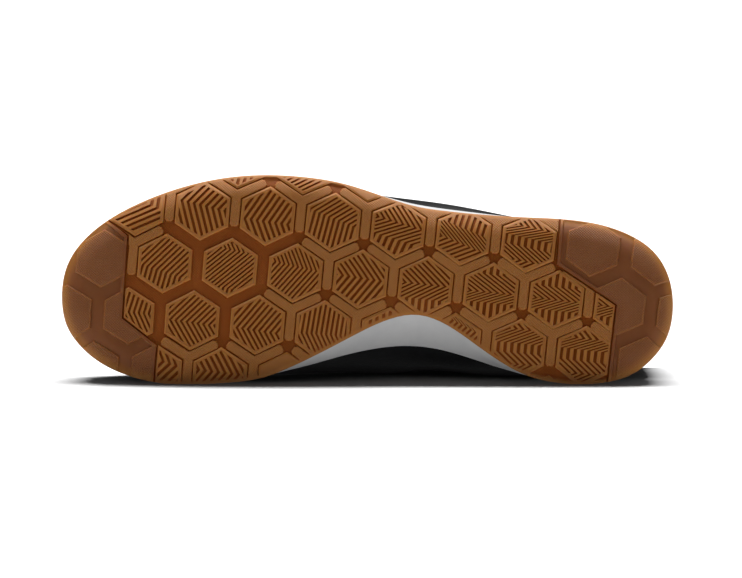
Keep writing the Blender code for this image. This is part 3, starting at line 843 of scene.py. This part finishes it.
# inset, height above the midsole
INSOLE_SECTION = (
    (0.8, 0.0), (0.0, 0.8), (0.0, INSOLE_THICK - 0.8), (0.3, INSOLE_THICK - 0.2), (1.2, INSOLE_THICK),
    (6.0, INSOLE_THICK - 0.5 * INSOLE_CUP), (12.0, INSOLE_THICK - INSOLE_CUP),
)

footbed, place, shader = new_finish("footbed_cloth")
weave = place.checks(INSOLE_WEAVE)
place.wire(shader, {
    "Base Color": place.noise(200.0, 3.0).mix(FOOTBED_BLACK, FOOTBED_GREY),
    "Roughness": weave * 0.05 + 0.85,
    "Normal": weave.bump(0.5, 0.15 * MM),
})
rings = []
for inset, height in INSOLE_SECTION:
    ring = spread(feather_outline, -INSOLE_INSET - inset)
    rings.append(raised(ring, feather_height(ring[:, 0]) + PIECE_GAP + height))
faces = lidded(len(rings), len(SOLE_ANGLES))
insole = shoe_piece("footbed", np.concatenate(rings), faces, "insole", footbed, replaced=("insole",))

# Upper: black leather, lasted into one hollow wall that is open at the collar, the throat and
# underneath, where it is glued to the midsole. A textile lining backs it.

# foot x, top x, top outer, top inner, top z, rise, lean outer, lean inner, reach, roof
UPPER = (
    (0.0, 6.0, -5.5, -5.5, 79.0, 20.0, 8.0, 8.0, 20.0, 84.0),
    (12.0, 10.5, 9.0, -20.0, 77.5, 20.0, 6.0, 3.0, 19.0, 84.0),
    (25.0, 21.0, 17.0, -27.5, 73.0, 18.0, 5.0, -1.0, 17.0, 83.0),
    (45.0, 42.0, 22.0, -32.0, 65.5, 15.0, 10.0, -4.0, 14.0, 80.0),
    (70.0, 66.0, 23.5, -32.8, 62.5, 14.0, 36.0, 6.0, 13.0, 74.0),
    (95.0, 90.0, 24.5, -31.4, 67.0, 17.0, 51.0, 54.0, 15.0, 66.0),
    (115.0, 110.0, 24.0, -27.0, 80.0, 23.0, 44.0, 74.0, 20.0, 56.0),
    (132.0, 126.0, 22.5, -22.5, 91.0, 28.0, 32.0, 58.0, 23.0, 48.0),
    (150.0, 140.0, 20.5, -18.0, 91.0, 29.0, 19.0, 42.0, 24.0, 41.0),
    (172.0, 156.0, 18.0, -14.0, 82.0, 27.0, 8.0, 24.0, 25.0, 34.0),
    (195.0, 172.0, 15.5, -10.5, 74.5, 25.0, 6.0, 10.0, 27.0, 28.0),
    (218.0, 184.0, 12.5, -7.0, 69.0, 24.0, 5.0, 1.0, 31.0, 23.0),
    (240.0, 190.7, 10.3, -5.0, 66.0, 23.0, 5.0, 1.0, 38.0, 18.0),
    (262.0, 195.2, 8.0, -3.0, 64.0, 22.0, 5.0, 2.0, 47.0, 14.0),
    (282.0, 197.6, 5.5, -0.8, 63.0, 21.0, 6.0, 5.0, 55.0, 12.0),
    (298.2, 198.3, 2.3, 2.3, 62.5, 20.0, 7.0, 7.0, 60.0, 11.0),
)
UPPER_INSET = 1.6
UPPER_WALL = 2.0
UPPER_RINGS = 44
WALL_STEP = 0.004
EDGE_TURNS = np.radians((36.0, 72.0, 108.0, 144.0))
# Flex creases across the vamp: x at the middle, depth, half width, how far the ends bow to the toe
CREASES = ((206.0, 1.0, 3.2, 10.0), (215.5, 1.3, 3.6, 12.0), (225.0, 0.8, 3.0, 14.0))
CREASE_RISE = (34.0, 50.0)
CREASE_SPAN = 40.0
CREASE_SHOULDER = 0.5
LEATHER_BLACK = (0.005, 0.005, 0.0053, 1.0)
LEATHER_GREY = (0.0066, 0.0066, 0.007, 1.0)
KNIT_BLACK = (0.008, 0.008, 0.009, 1.0)
LINING_THREAD = (0.02, 0.02, 0.022, 1.0)
LINING_PITCH = 1.1
UPPER_COLUMNS = {}
for name, outer, inner in (("x", 1, 1), ("y", 2, 3), ("z", 4, 4), ("rise", 5, 5),
                           ("lean", 6, 7), ("reach", 8, 8), ("roof", 9, 9)):
    UPPER_COLUMNS[name] = around(UPPER, outer, inner)


def ribs(angle):
    """The four guide points of each rib at the given angles around the shoe."""
    side = outward(feather_outline, angle)
    plan = feather_outline(angle) - UPPER_INSET * side
    foot = np.column_stack([plan, feather_height(plan[:, 0]) + PIECE_GAP])
    top = np.column_stack([UPPER_COLUMNS[name](angle) for name in ("x", "y", "z")])
    lean = np.radians(UPPER_COLUMNS["lean"](angle))[:, None]
    rise = UPPER_COLUMNS["rise"](angle)[:, None]
    roof = np.radians(UPPER_COLUMNS["roof"](angle))[:, None]
    reach = UPPER_COLUMNS["reach"](angle)[:, None]
    apart = unit(plan - top[:, :2])
    first = foot + rise * np.hstack([side * np.sin(lean), np.cos(lean)])
    second = top + reach * np.hstack([apart * np.cos(roof), -np.sin(roof)])
    return foot, first, second, top


def rib_point(angle, share):
    """Points of the wall's outside, a share of the way up their ribs."""
    share = np.broadcast_to(share, len(angle))[:, None]
    foot, first, second, top = ribs(angle)
    rest = 1.0 - share
    low = rest ** 3 * foot + 3.0 * rest ** 2 * share * first
    return low + 3.0 * rest * share ** 2 * second + share ** 3 * top


def wall_normal(angle, share):
    """Unit normals of the wall's outside."""
    around_it = rib_point(angle + WALL_STEP, share) - rib_point(angle - WALL_STEP, share)
    above = rib_point(angle, np.minimum(share + WALL_STEP, 1.0))
    below = rib_point(angle, np.maximum(share - WALL_STEP, 0.0))
    return unit(np.cross(above - below, around_it))


def creased(points, normals):
    """The wall pressed in along its flex creases, deepest over the top of the foot."""
    top = ease(*CREASE_RISE, points[:, 2])[:, None]
    for x, deep, wide, bow in CREASES:
        off = points[:, 0] - x - bow * (points[:, 1] / CREASE_SPAN) ** 2
        shoulder = CREASE_SHOULDER * np.exp(-((abs(off) - 2.0 * wide) / wide) ** 2)
        trough = np.exp(-(off / wide) ** 2) - shoulder
        points = points - deep * trough[:, None] * top * normals
    return points


def knit_finish(name, thread, pitch):
    """Spacer knit: rows of small round cells between threads, quite matt."""
    knit, place, shader = new_finish(name)
    along = place.mask("along") * (math.pi / pitch)
    over = place.mask("over") * (math.pi / pitch)
    cells = ((along + over).sine() * (along - over).sine()).smooth(-0.1, 0.7)
    fuzz = place.noise(1800.0, 2.0)
    place.wire(shader, {
        "Base Color": cells.mix(thread, KNIT_BLACK),
        "Roughness": fuzz * 0.1 + 0.82,
        "Specular IOR Level": 0.2,
        "Normal": (fuzz * 0.3 - cells).bump(0.6, 0.35 * MM),
    })
    return knit


def lengths_along(grid, axis):
    """Lengths from the first line of a grid of points to each of its points, along one axis."""
    steps = np.linalg.norm(np.diff(grid, axis=axis), axis=2)
    return np.cumsum(np.insert(steps, 0, 0.0, axis=axis), axis=axis)


def set_cloth_lengths(piece, grid):
    """Lengths on a piece of cloth, for its weave to follow."""
    middle = lengths_along(grid, 0)[:, [grid.shape[1] // 2]]
    set_mask(piece, "along", np.broadcast_to(middle, grid.shape[:2]).ravel())
    set_mask(piece, "over", lengths_along(grid, 1).ravel())


black_leather, place, shader = new_finish("black_leather")
pebble = place.add("TexVoronoi", {"feature": "SMOOTH_F1"}, {"Vector": place, "Scale": 900.0})
folds = place.noise(160.0, 4.0)
place.wire(shader, {
    "Base Color": folds.smooth(0.3, 0.75).mix(LEATHER_BLACK, LEATHER_GREY),
    "Roughness": folds * 0.1 + 0.42,
    "Specular IOR Level": 0.07,
    "Normal": (pebble + folds * 0.3).bump(0.45, 0.2 * MM),
})
black_lining = knit_finish("black_lining", LINING_THREAD, LINING_PITCH)
outside, inside = [], []
for share in np.linspace(0.0, 1.0, UPPER_RINGS):
    normals = wall_normal(SOLE_ANGLES, share)
    ring = resting(creased(rib_point(SOLE_ANGLES, share), normals))
    outside.append(ring)
    inside.append(ring - UPPER_WALL * normals)
upward = unit(outside[-1] - outside[-2])
edge_rings = []
for turn in EDGE_TURNS:
    inset = UPPER_WALL * (1.0 - math.cos(turn)) / 2.0
    edge_rings.append(outside[-1] - inset * normals + 0.5 * UPPER_WALL * math.sin(turn) * upward)
rings = outside + edge_rings + inside[::-1]
faces = skin(len(rings), len(SOLE_ANGLES), tube=True)
upper = shoe_piece("upper_shell", np.concatenate(rings), faces, "upper", black_leather, black_lining,
                   sharp=60.0, replaced=("upper",))
lined = [0] * ((len(outside) + len(edge_rings) // 2) * len(SOLE_ANGLES))
lined += [1] * (len(faces) - len(lined))
upper.data.polygons.foreach_set("material_index", lined)
set_cloth_lengths(upper, np.stack(rings))

# Collar: foam padding under a knit lining, sewn in along the top line from one side of the
# throat round the heel to the other.
COLLAR_END = math.radians(86.0)
COLLAR_STATIONS = 90
COLLAR_SWELL = 2.0
COLLAR_THIN = 0.25
COLLAR_TAPER = math.radians(26.0)
COLLAR_LEAN = 0.97
COLLAR_TOP_SEAM = 2
COLLAR_BACK = 10
COLLAR_END_SEAM = 3
WALL_SHARES = np.linspace(1.0, 0.2, 161)
STUFFING_PRESSURE = 4.0
STUFFING_FRAMES = 20
CLOTH_EASE = 0.03
# down from the top line, in from the outside of the wall
COLLAR_PAD = (
    (0.2, 1.1), (-1.3, 1.5), (-1.9, 2.6), (-1.6, 4.2), (0.0, 6.2), (4.0, 7.8), (10.0, 8.2), (17.0, 7.3),
    (24.0, 5.4), (30.0, 3.6), (35.0, 2.5), (36.0, 2.15), (24.0, 2.1), (12.0, 2.1), (4.0, 2.1), (1.0, 1.9),
)


def share_below(angle, down):
    """Shares at which the wall lies a length below its top line."""
    lengths = lengths_along(np.stack([rib_point(angle, share) for share in WALL_SHARES]), 0)
    return np.array([np.interp(down, lengths[:, i], WALL_SHARES) for i in range(len(angle))])


def capped(rows, columns, base=0):
    """Faces of a stack of rings with a flat cap at both ends, its points counted from a base."""
    faces = skin(rows, columns)
    for end in (0, (rows - 1) * columns):
        faces.append([end + i for i in range(columns)])
    return [[base + corner for corner in face] for face in faces]


def stuffed(piece, sewn, swell):
    """A pad swollen by its foam: held where it is sewn, moved at most by a swell at each point."""
    held = piece.vertex_groups.new(name="held")
    held.add(np.flatnonzero(sewn).tolist(), 1.0, "REPLACE")
    cloth = piece.modifiers.new("stuffing", "CLOTH")
    cloth.settings.vertex_group_mass = held.name
    cloth.settings.use_pressure = True
    cloth.settings.uniform_pressure_force = STUFFING_PRESSURE
    cloth.settings.shrink_min = -CLOTH_EASE
    cloth.settings.effector_weights.gravity = 0.0
    cloth.point_cache.frame_end = STUFFING_FRAMES
    for moment in range(1, STUFFING_FRAMES + 1):
        bpy.context.scene.frame_set(moment)
    flat = np.empty(3 * len(piece.data.vertices))
    piece.data.vertices.foreach_get("co", flat)
    swollen = np.empty_like(flat)
    piece.evaluated_get(bpy.context.evaluated_depsgraph_get()).data.vertices.foreach_get("co", swollen)
    piece.modifiers.remove(cloth)
    bpy.context.scene.frame_set(1)
    move = (swollen - flat).reshape(-1, 3)
    far = np.linalg.norm(move, axis=1)
    move *= np.minimum(1.0, MM * swell / np.maximum(far, TINY))[:, None]
    piece.data.vertices.foreach_set("co", flat + move.ravel())
    piece.data.update()


collar_angles = np.linspace(-COLLAR_END, COLLAR_END, COLLAR_STATIONS)
plump = np.sqrt(ease(0.0, COLLAR_TAPER, COLLAR_END - abs(collar_angles)))
plump = COLLAR_THIN + (1.0 - COLLAR_THIN) * plump
rings = []
rise = unit(rib_point(collar_angles, 1.0) - rib_point(collar_angles, COLLAR_LEAN))
for down, inward in COLLAR_PAD:
    share = share_below(collar_angles, max(down, 0.0))
    pad = np.minimum(inward, UPPER_WALL) + plump * max(inward - UPPER_WALL, 0.0)
    point = rib_point(collar_angles, share) - pad[:, None] * wall_normal(collar_angles, share)
    rings.append(point + max(-down, 0.0) * plump[:, None] * rise)
grid = np.stack(rings, axis=1)
faces = capped(COLLAR_STATIONS, len(COLLAR_PAD))
collar = shoe_piece("collar_padding", grid.reshape(-1, 3), faces, "upper", black_lining, sharp=70.0)
sewn = np.zeros((COLLAR_STATIONS, len(COLLAR_PAD)), bool)
sewn[:, :COLLAR_TOP_SEAM] = True
sewn[:, COLLAR_BACK:] = True
sewn[:COLLAR_END_SEAM] = True
sewn[-COLLAR_END_SEAM:] = True
stuffed(collar, sewn.ravel(), np.full(sewn.size, COLLAR_SWELL))
set_cloth_lengths(collar, grid)
rounding = collar.modifiers.new("rounding", "SUBSURF")
rounding.levels = 1
rounding.render_levels = 1

# Tongue: a foam strip faced with knit and edged by a sewn channel, stitched in under the front of
# the throat. Its plump free end stands above the laces.

# x, centre y, top z, half width, edge drop, thickness
TONGUE = (
    (209.0, 2.3, 57.3, 9.0, 0.6, 2.5),
    (198.0, 2.4, 60.0, 10.5, 1.5, 2.5),
    (190.0, 2.5, 63.0, 13.0, 4.4, 2.5),
    (172.0, 2.5, 73.6, 19.5, 7.6, 3.0),
    (156.0, 2.0, 81.6, 22.0, 9.4, 3.2),
    (140.0, 1.2, 90.8, 22.5, 13.2, 3.6),
    (126.0, 0.2, 98.6, 20.0, 14.5, 4.2),
    (115.0, 0.2, 105.6, 20.0, 11.5, 5.0),
    (101.0, 0.4, 114.5, 22.0, 10.0, 5.0),
    (96.5, 0.5, 117.2, 20.0, 8.0, 4.0),
)
TONGUE_ROWS = 72
TONGUE_COLUMNS = 40
TONGUE_THREAD = (0.022, 0.022, 0.024, 1.0)
TONGUE_PITCH = 1.3
TONGUE_PUFF = 1.0
TONGUE_PUFF_RISE = (0.35, 0.8)
TONGUE_SWELL = (0.7, 2.6)
TONGUE_SWELL_RISE = (0.5, 0.75)
TONGUE_LIFT = (-0.5, 0.0, 0.85)
TONGUE_UNDER = (0.5, 0.0, 0.85)
# Seams of the sewn channel: shares of the half width and of the length, and how hard they pull in.
TONGUE_SEAM = 0.84
TONGUE_SEAM_WIDTH = 0.05
TONGUE_END_SEAM = 0.955
TONGUE_END_SEAM_WIDTH = 0.012
TONGUE_SEAM_PULL = 1.1
TONGUE_SEAM_SINK = -0.6
TONGUE_SEAM_HELD = 0.5
# Rounding of the edges and of the free end, as shares.
TONGUE_EDGE_THIN = 0.97
TONGUE_ROUND = 0.94
TONGUE_ROUND_THIN = 0.9
TONGUE_ROUND_NARROW = 0.07
# Where it can't swell: under the vamp, under the lace bars, and underneath where it lies on the foot.
TONGUE_VAMP = 0.2
TONGUE_LACED = 0.75
TONGUE_ON_FOOT = 0.6
LACE_ROWS = (186.0, 174.5, 163.0, 151.5, 140.0)
LACE_WIDTH = 7.0
LACE_PRESS = 0.45


def eased_rows(table, count):
    """Rows of a table, evenly spaced and joined by a smooth curve."""
    table = np.vstack([2.0 * np.array(table[0]) - table[1], table, 2.0 * np.array(table[-1]) - table[-2]])
    rows = []
    for at in np.linspace(1.0, len(table) - 2.0, count):
        i = min(int(at), len(table) - 3)
        t = at - i
        a, b, c, d = table[i - 1:i + 3]
        bend = 2.0 * a - 5.0 * b + 4.0 * c - d + t * (3.0 * (b - c) + d - a)
        rows.append(b + 0.5 * t * (c - a + t * bend))
    return rows


tongue_knit = knit_finish("tongue_knit", TONGUE_THREAD, TONGUE_PITCH)
across = np.linspace(-1.0, 1.0, TONGUE_COLUMNS + 1)
rings, sewn, swell = [], [], []
for number, (x, middle, top, half, drop, thick) in enumerate(eased_rows(TONGUE, TONGUE_ROWS)):
    free = number / (TONGUE_ROWS - 1.0)
    tip = max(0.0, (free - TONGUE_ROUND) / (1.0 - TONGUE_ROUND))
    end = math.sqrt(1.0 - TONGUE_ROUND_THIN * tip ** 2)
    seam = np.exp(-((abs(across) - TONGUE_SEAM) / TONGUE_SEAM_WIDTH) ** 2)
    seam += math.exp(-((free - TONGUE_END_SEAM) / TONGUE_END_SEAM_WIDTH) ** 2)
    puff = np.sqrt(np.clip(1.0 - across ** 4, 0.0, 1.0)) - TONGUE_SEAM_PULL * seam
    puff *= TONGUE_PUFF * ease(*TONGUE_PUFF_RISE, free)
    thin = np.sqrt(np.clip(1.0 - TONGUE_EDGE_THIN * across ** 6, 0.0, 1.0)) * end
    aside = half * (1.0 - TONGUE_ROUND_NARROW + TONGUE_ROUND_NARROW * end) * across
    upper_side = np.column_stack([np.full(len(across), x), middle + aside, top - drop * across ** 2])
    lift = np.outer(np.clip(puff, TONGUE_SEAM_SINK, None), TONGUE_LIFT)
    under_side = upper_side - np.outer(thick * thin, TONGUE_UNDER)
    rings.append(np.concatenate([upper_side + lift, under_side[::-1]]))
    laced = min(abs(x - row_x) for row_x in LACE_ROWS) < LACE_PRESS * LACE_WIDTH
    pressed = laced & (abs(across) < TONGUE_LACED)
    sewn.append((seam > TONGUE_SEAM_HELD) | pressed | (free < TONGUE_VAMP))
    sewn.append(np.full(len(across), free < TONGUE_ON_FOOT))
    most = np.interp(ease(*TONGUE_SWELL_RISE, free), (0.0, 1.0), TONGUE_SWELL)
    swell.append(np.full(2 * len(across), most))
faces = capped(TONGUE_ROWS, len(rings[0]))
tongue = shoe_piece("tongue_pad", np.concatenate(rings), faces, "tongue", tongue_knit,
                    sharp=70.0, replaced=("tongue",))
stuffed(tongue, np.concatenate(sewn), np.concatenate(swell))
set_cloth_lengths(tongue, np.stack(rings))

# Eyelets: ten rings of black enamelled brass, five on each side of the throat. Each is pressed
# into a punched hole and turned over the leather.
EYELET_BACK = 6.5
EYELET_HOLE = 2.3
EYELET_RING = 1.1
EYELET_SIDES = 28
ENAMEL_BLACK = (0.012, 0.012, 0.013, 1.0)
ENAMEL_WORN = (0.03, 0.03, 0.031, 1.0)
# out from the hole's middle, height above the wall
EYELET_SECTION = (
    (EYELET_HOLE, -1.4), (EYELET_HOLE, 0.2), (EYELET_HOLE + 0.25, 0.55), (EYELET_HOLE + 0.6, 0.65),
    (EYELET_HOLE + EYELET_RING, 0.25), (EYELET_HOLE + EYELET_RING, -0.3),
)
THROAT_ANGLES = np.linspace(math.radians(60.0), math.radians(178.0), 500)
THROAT_SHARES = np.linspace(0.6, 1.0, 121)


def beside_throat(row_x, side, back):
    """Point and normal of the wall beside the throat, a length back from its edge in one row."""
    angles = THROAT_ANGLES if side > 0.0 else 2.0 * math.pi - THROAT_ANGLES
    sheet = np.stack([rib_point(angles, share) for share in THROAT_SHARES])
    edge_y = UPPER_COLUMNS["y"](angles[np.argmin(abs(UPPER_COLUMNS["x"](angles) - row_x))])
    apart = np.hypot(sheet[:, :, 0] - row_x, sheet[:, :, 1] - edge_y - side * back)
    k, i = np.unravel_index(np.argmin(apart), apart.shape)
    return sheet[k, i], wall_normal(angles[i:i + 1], THROAT_SHARES[k])[0]


enamel, place, shader = new_finish("black_enamel")
wear = place.noise(700.0, 3.0)
place.wire(shader, {
    "Base Color": wear.smooth(0.45, 0.8).mix(ENAMEL_BLACK, ENAMEL_WORN),
    "Roughness": wear * 0.2 + 0.25,
    "Metallic": 0.6,
})
points, faces = [], []
turns = np.arange(EYELET_SIDES) * 2.0 * math.pi / EYELET_SIDES
for row_x in LACE_ROWS:
    for side in (1.0, -1.0):
        centre, normal = beside_throat(row_x, side, EYELET_BACK)
        ahead = unit(np.cross(normal, (0.0, 1.0, 0.0)))
        aside = np.cross(normal, ahead)
        faces += capped(len(EYELET_SECTION), EYELET_SIDES, len(points))
        for out, height in EYELET_SECTION:
            for turn in turns:
                spoke = math.cos(turn) * ahead + math.sin(turn) * aside
                points.append(centre + out * spoke + height * normal)
shoe_piece("eyelets", points, faces, "upper", enamel, sharp=40.0)

# Lace: one flat woven black lace. A straight bar crosses the throat at each pair of eyelets and
# dives through them; its ends stop inside the top pair.
LACE_THICK = 1.4
LACE_CLEAR = 0.8
LACE_BOW = 0.4
LACE_STEPS = 60
LACE_SIDES = 16
LACE_FLAT = 0.7
LACE_ROUND = 0.8
LACE_GATHER = 0.55
LACE_GATHER_END = (0.1, 0.3)
LACE_BLACK = (0.003, 0.003, 0.003, 1.0)
LACE_GREY = (0.034, 0.034, 0.036, 1.0)
PLAIT_ALONG = 4.2
PLAIT_OVER = 3.0
# depths below the wall, inside the eyelet
LACE_DIVE = (2.4, 0.6)
# back from the throat's edge, height above the wall
LACE_RISE = (
    (0.75 * EYELET_BACK, 1.5), (0.45 * EYELET_BACK, LACE_CLEAR + LACE_THICK / 2.0), (0.3, 1.2),
)

lace_weave, place, shader = new_finish("black_lace")
strands = place.mask("along") * PLAIT_ALONG
slant = place.mask("over") * PLAIT_OVER
plait = place.maths("MAXIMUM", (strands + slant).sine(), (strands - slant).sine())
place.wire(shader, {
    "Base Color": plait.smooth(-0.5, 0.9).mix(LACE_BLACK, LACE_GREY),
    "Roughness": place.noise(1500.0) * 0.1 + 0.7,
    "Specular IOR Level": 0.2,
    "Normal": plait.bump(0.9, 0.4 * MM),
})
tongue_top = np.array(TONGUE)[::-1]
for number, row_x in enumerate(LACE_ROWS, start=1):
    route = []
    for side in (1.0, -1.0):
        hole, normal = beside_throat(row_x, side, EYELET_BACK)
        leg = [hole - depth * normal for depth in LACE_DIVE]
        for back, lift in LACE_RISE:
            spot, normal = beside_throat(row_x, side, back)
            leg.append(spot + lift * normal)
        route.append(leg)
    crown = np.interp(row_x, tongue_top[:, 0], tongue_top[:, 2]) + TONGUE_PUFF
    middle = (route[0][-1] + route[1][-1]) / 2.0
    middle[2] = max(crown + LACE_CLEAR + LACE_THICK / 2.0, middle[2]) + LACE_BOW
    guide = eased_rows(np.array(route[0] + [middle] + route[1][::-1]), LACE_STEPS)
    points, lengths, offsets = [], [], []
    far = 0.0
    for k, point in enumerate(guide):
        run = unit(guide[min(k + 1, LACE_STEPS - 1)] - guide[max(k - 1, 0)])
        wide = unit(np.array((1.0, 0.0, 0.0)) - run[0] * run)
        through = np.cross(wide, run)
        far += np.linalg.norm(point - guide[max(k - 1, 0)])
        from_end = min(k, LACE_STEPS - 1 - k) / (LACE_STEPS - 1.0)
        half = LACE_WIDTH / 2.0 * (LACE_GATHER + (1.0 - LACE_GATHER) * ease(*LACE_GATHER_END, from_end))
        for turn in np.arange(LACE_SIDES) * 2.0 * math.pi / LACE_SIDES:
            flat_way = math.copysign(abs(math.cos(turn)) ** LACE_FLAT, math.cos(turn))
            thick_way = math.copysign(abs(math.sin(turn)) ** LACE_ROUND, math.sin(turn))
            points.append(point + half * flat_way * wide + LACE_THICK / 2.0 * thick_way * through)
            lengths.append(far)
            offsets.append(flat_way * half)
    bar = shoe_piece(f"lace_bar_{number}", points, capped(LACE_STEPS, LACE_SIDES), "lace", lace_weave,
                     sharp=70.0, replaced=(f"lace_{number}",))
    set_mask(bar, "along", lengths)
    set_mask(bar, "over", offsets)

# Stitching: twisted black thread, sewn through leather and lining by machine. One row runs round the
# whole top line, and a second runs behind the eyelets and round the front of the throat.
STITCH_PITCH = 3.2
STITCH_LENGTH = 2.5
STITCH_START = 0.5
STITCH_RADIUS = 0.32
STITCH_SIDES = 6
STITCH_LIFTS = (-0.15, 0.12, 0.2, 0.12, -0.15)
STITCH_SAMPLES = 900
THREAD_BLACK = (0.014, 0.014, 0.015, 1.0)
THREAD_GREY = (0.035, 0.035, 0.037, 1.0)
# length below the top line, first angle, last angle
STITCH_ROWS = ((2.6, 0.0, 360.0), (13.3, 92.0, 268.0))

thread, place, shader = new_finish("black_thread")
twist = place.noise(2500.0, 1.0)
place.wire(shader, {
    "Base Color": twist.mix(THREAD_BLACK, THREAD_GREY),
    "Roughness": twist * 0.2 + 0.5,
})
points, faces = [], []
for down, first, last in STITCH_ROWS:
    angles = np.radians(np.linspace(first, last, STITCH_SAMPLES))
    share = share_below(angles, down)
    normals = wall_normal(angles, share)
    path = creased(rib_point(angles, share), normals)
    length = np.append(0.0, np.cumsum(np.linalg.norm(np.diff(path, axis=0), axis=1)))
    for start in np.arange(STITCH_START, length[-1] - STITCH_PITCH, STITCH_PITCH):
        faces += capped(len(STITCH_LIFTS), STITCH_SIDES, len(points))
        steps = start + np.linspace(0.0, STITCH_LENGTH, len(STITCH_LIFTS))
        spine = np.column_stack([np.interp(steps, length, path[:, i]) for i in range(3)])
        up = np.array([np.interp(start, length, normals[:, i]) for i in range(3)])
        aside = np.cross(up, unit(spine[-1] - spine[0]))
        for point, lift in zip(spine, STITCH_LIFTS):
            for turn in np.arange(STITCH_SIDES) * 2.0 * math.pi / STITCH_SIDES:
                ring = math.cos(turn) * aside + math.sin(turn) * up
                points.append(point + lift * up + STITCH_RADIUS * ring)
shoe_piece("stitching", resting(np.array(points)), faces, "upper", thread, sharp=80.0)

# Studio: a floor of pale paper, with a broad lamp for the shoe, a wide lamp for the paper, and a weak
# light from below for what the paper throws back. A long lens faces the sole from a little above.
FLOOR_SIDE = 4.0
FLOOR_FRONT = -7.0
FLOOR_BACK = 7.0
PAPER_GREY = (0.15, 0.15, 0.15, 1.0)
PAPER_PALE = (0.155, 0.155, 0.155, 1.0)
GLOW_RISE = (0.2, 0.9)
GLOW_ABOVE = 0.3
GLOW_ROUND = 0.08
BACKDROP = 1.1
floor_mesh = bpy.data.meshes.new("floor")
floor_mesh.from_pydata([(-FLOOR_SIDE, FLOOR_FRONT, 0.0), (FLOOR_SIDE, FLOOR_FRONT, 0.0),
                        (FLOOR_SIDE, FLOOR_BACK, 0.0), (-FLOOR_SIDE, FLOOR_BACK, 0.0)], [], [(0, 1, 2, 3)])
paper, place, shader = new_finish("paper")
place.wire(shader, {
    "Base Color": place.noise(3.0).mix(PAPER_GREY, PAPER_PALE),
    "Roughness": 0.9,
})
floor_mesh.materials.append(paper)
floor = bpy.data.objects.new("floor", floor_mesh)
bpy.context.collection.objects.link(floor)


def soft_light(name, size, power, position, aim):
    """A lamp of a width and depth in metres and a power in watts, turned toward its aim."""
    lamp = bpy.data.lights.new(name, "AREA")
    lamp.shape = "RECTANGLE"
    lamp.size, lamp.size_y = size
    lamp.energy = power
    light = bpy.data.objects.new(name, lamp)
    bpy.context.collection.objects.link(light)
    light.location = position
    light.rotation_euler = (Vector(aim) - Vector(position)).to_track_quat("-Z", "Y").to_euler()
    return light


key = soft_light("overhead", (1.5, 0.6), 31.0, (-0.03, 0.28, 1.15), (0.0, 0.15, 0.0))
wash = soft_light("floor_wash", (9.0, 2.2), 11500.0, (0.0, 3.7, 10.0), (0.0, 0.0, 0.0))
bounce = soft_light("floor_bounce", (1.0, 0.7), 0.85, (0.0, -0.05, -0.5), (0.0, 0.0, 0.0))
only_floor = bpy.data.collections.new("only_floor")
only_floor.objects.link(floor)
wash.light_linking.receiver_collection = only_floor
not_floor = bpy.data.collections.new("not_floor")
not_floor.objects.link(floor)
not_floor.collection_objects[0].light_linking.link_state = "EXCLUDE"
key.light_linking.receiver_collection = not_floor
bounce.light_linking.receiver_collection = not_floor
bounce.light_linking.blocker_collection = not_floor
world = bpy.data.worlds.new("studio")
world.use_nodes = True
sky = Shade(world.node_tree)
above = sky.add("TexCoord", output="Generated").axis("Z")
glow = above.smooth(*GLOW_RISE) * GLOW_ABOVE + GLOW_ROUND
seen = sky.add("LightPath", output="Is Camera Ray")
sky.wire(world.node_tree.nodes["Background"], {
    "Color": (1.0, 1.0, 1.0, 1.0),
    "Strength": seen * BACKDROP + (1.0 - seen) * glow,
})
bpy.context.scene.world = world
bpy.context.scene.view_settings.view_transform = "Standard"

VIEW_UP = math.radians(6.0)
VIEW_DISTANCE = 6.0
FRAME_WIDTH = 0.3612
SOLE_MIDDLE = Vector((0.00185, -0.0534, 0.0462))
camera_data = bpy.data.cameras.new("camera")
camera_data.sensor_width = 36.0
camera_data.lens = camera_data.sensor_width * VIEW_DISTANCE / FRAME_WIDTH
camera = bpy.data.objects.new("camera", camera_data)
bpy.context.collection.objects.link(camera)
toward = Vector((0.0, -math.cos(VIEW_UP), math.sin(VIEW_UP)))
camera.location = SOLE_MIDDLE + VIEW_DISTANCE * toward
camera.rotation_euler = (-toward).to_track_quat("-Z", "Y").to_euler()
bpy.context.scene.camera = camera
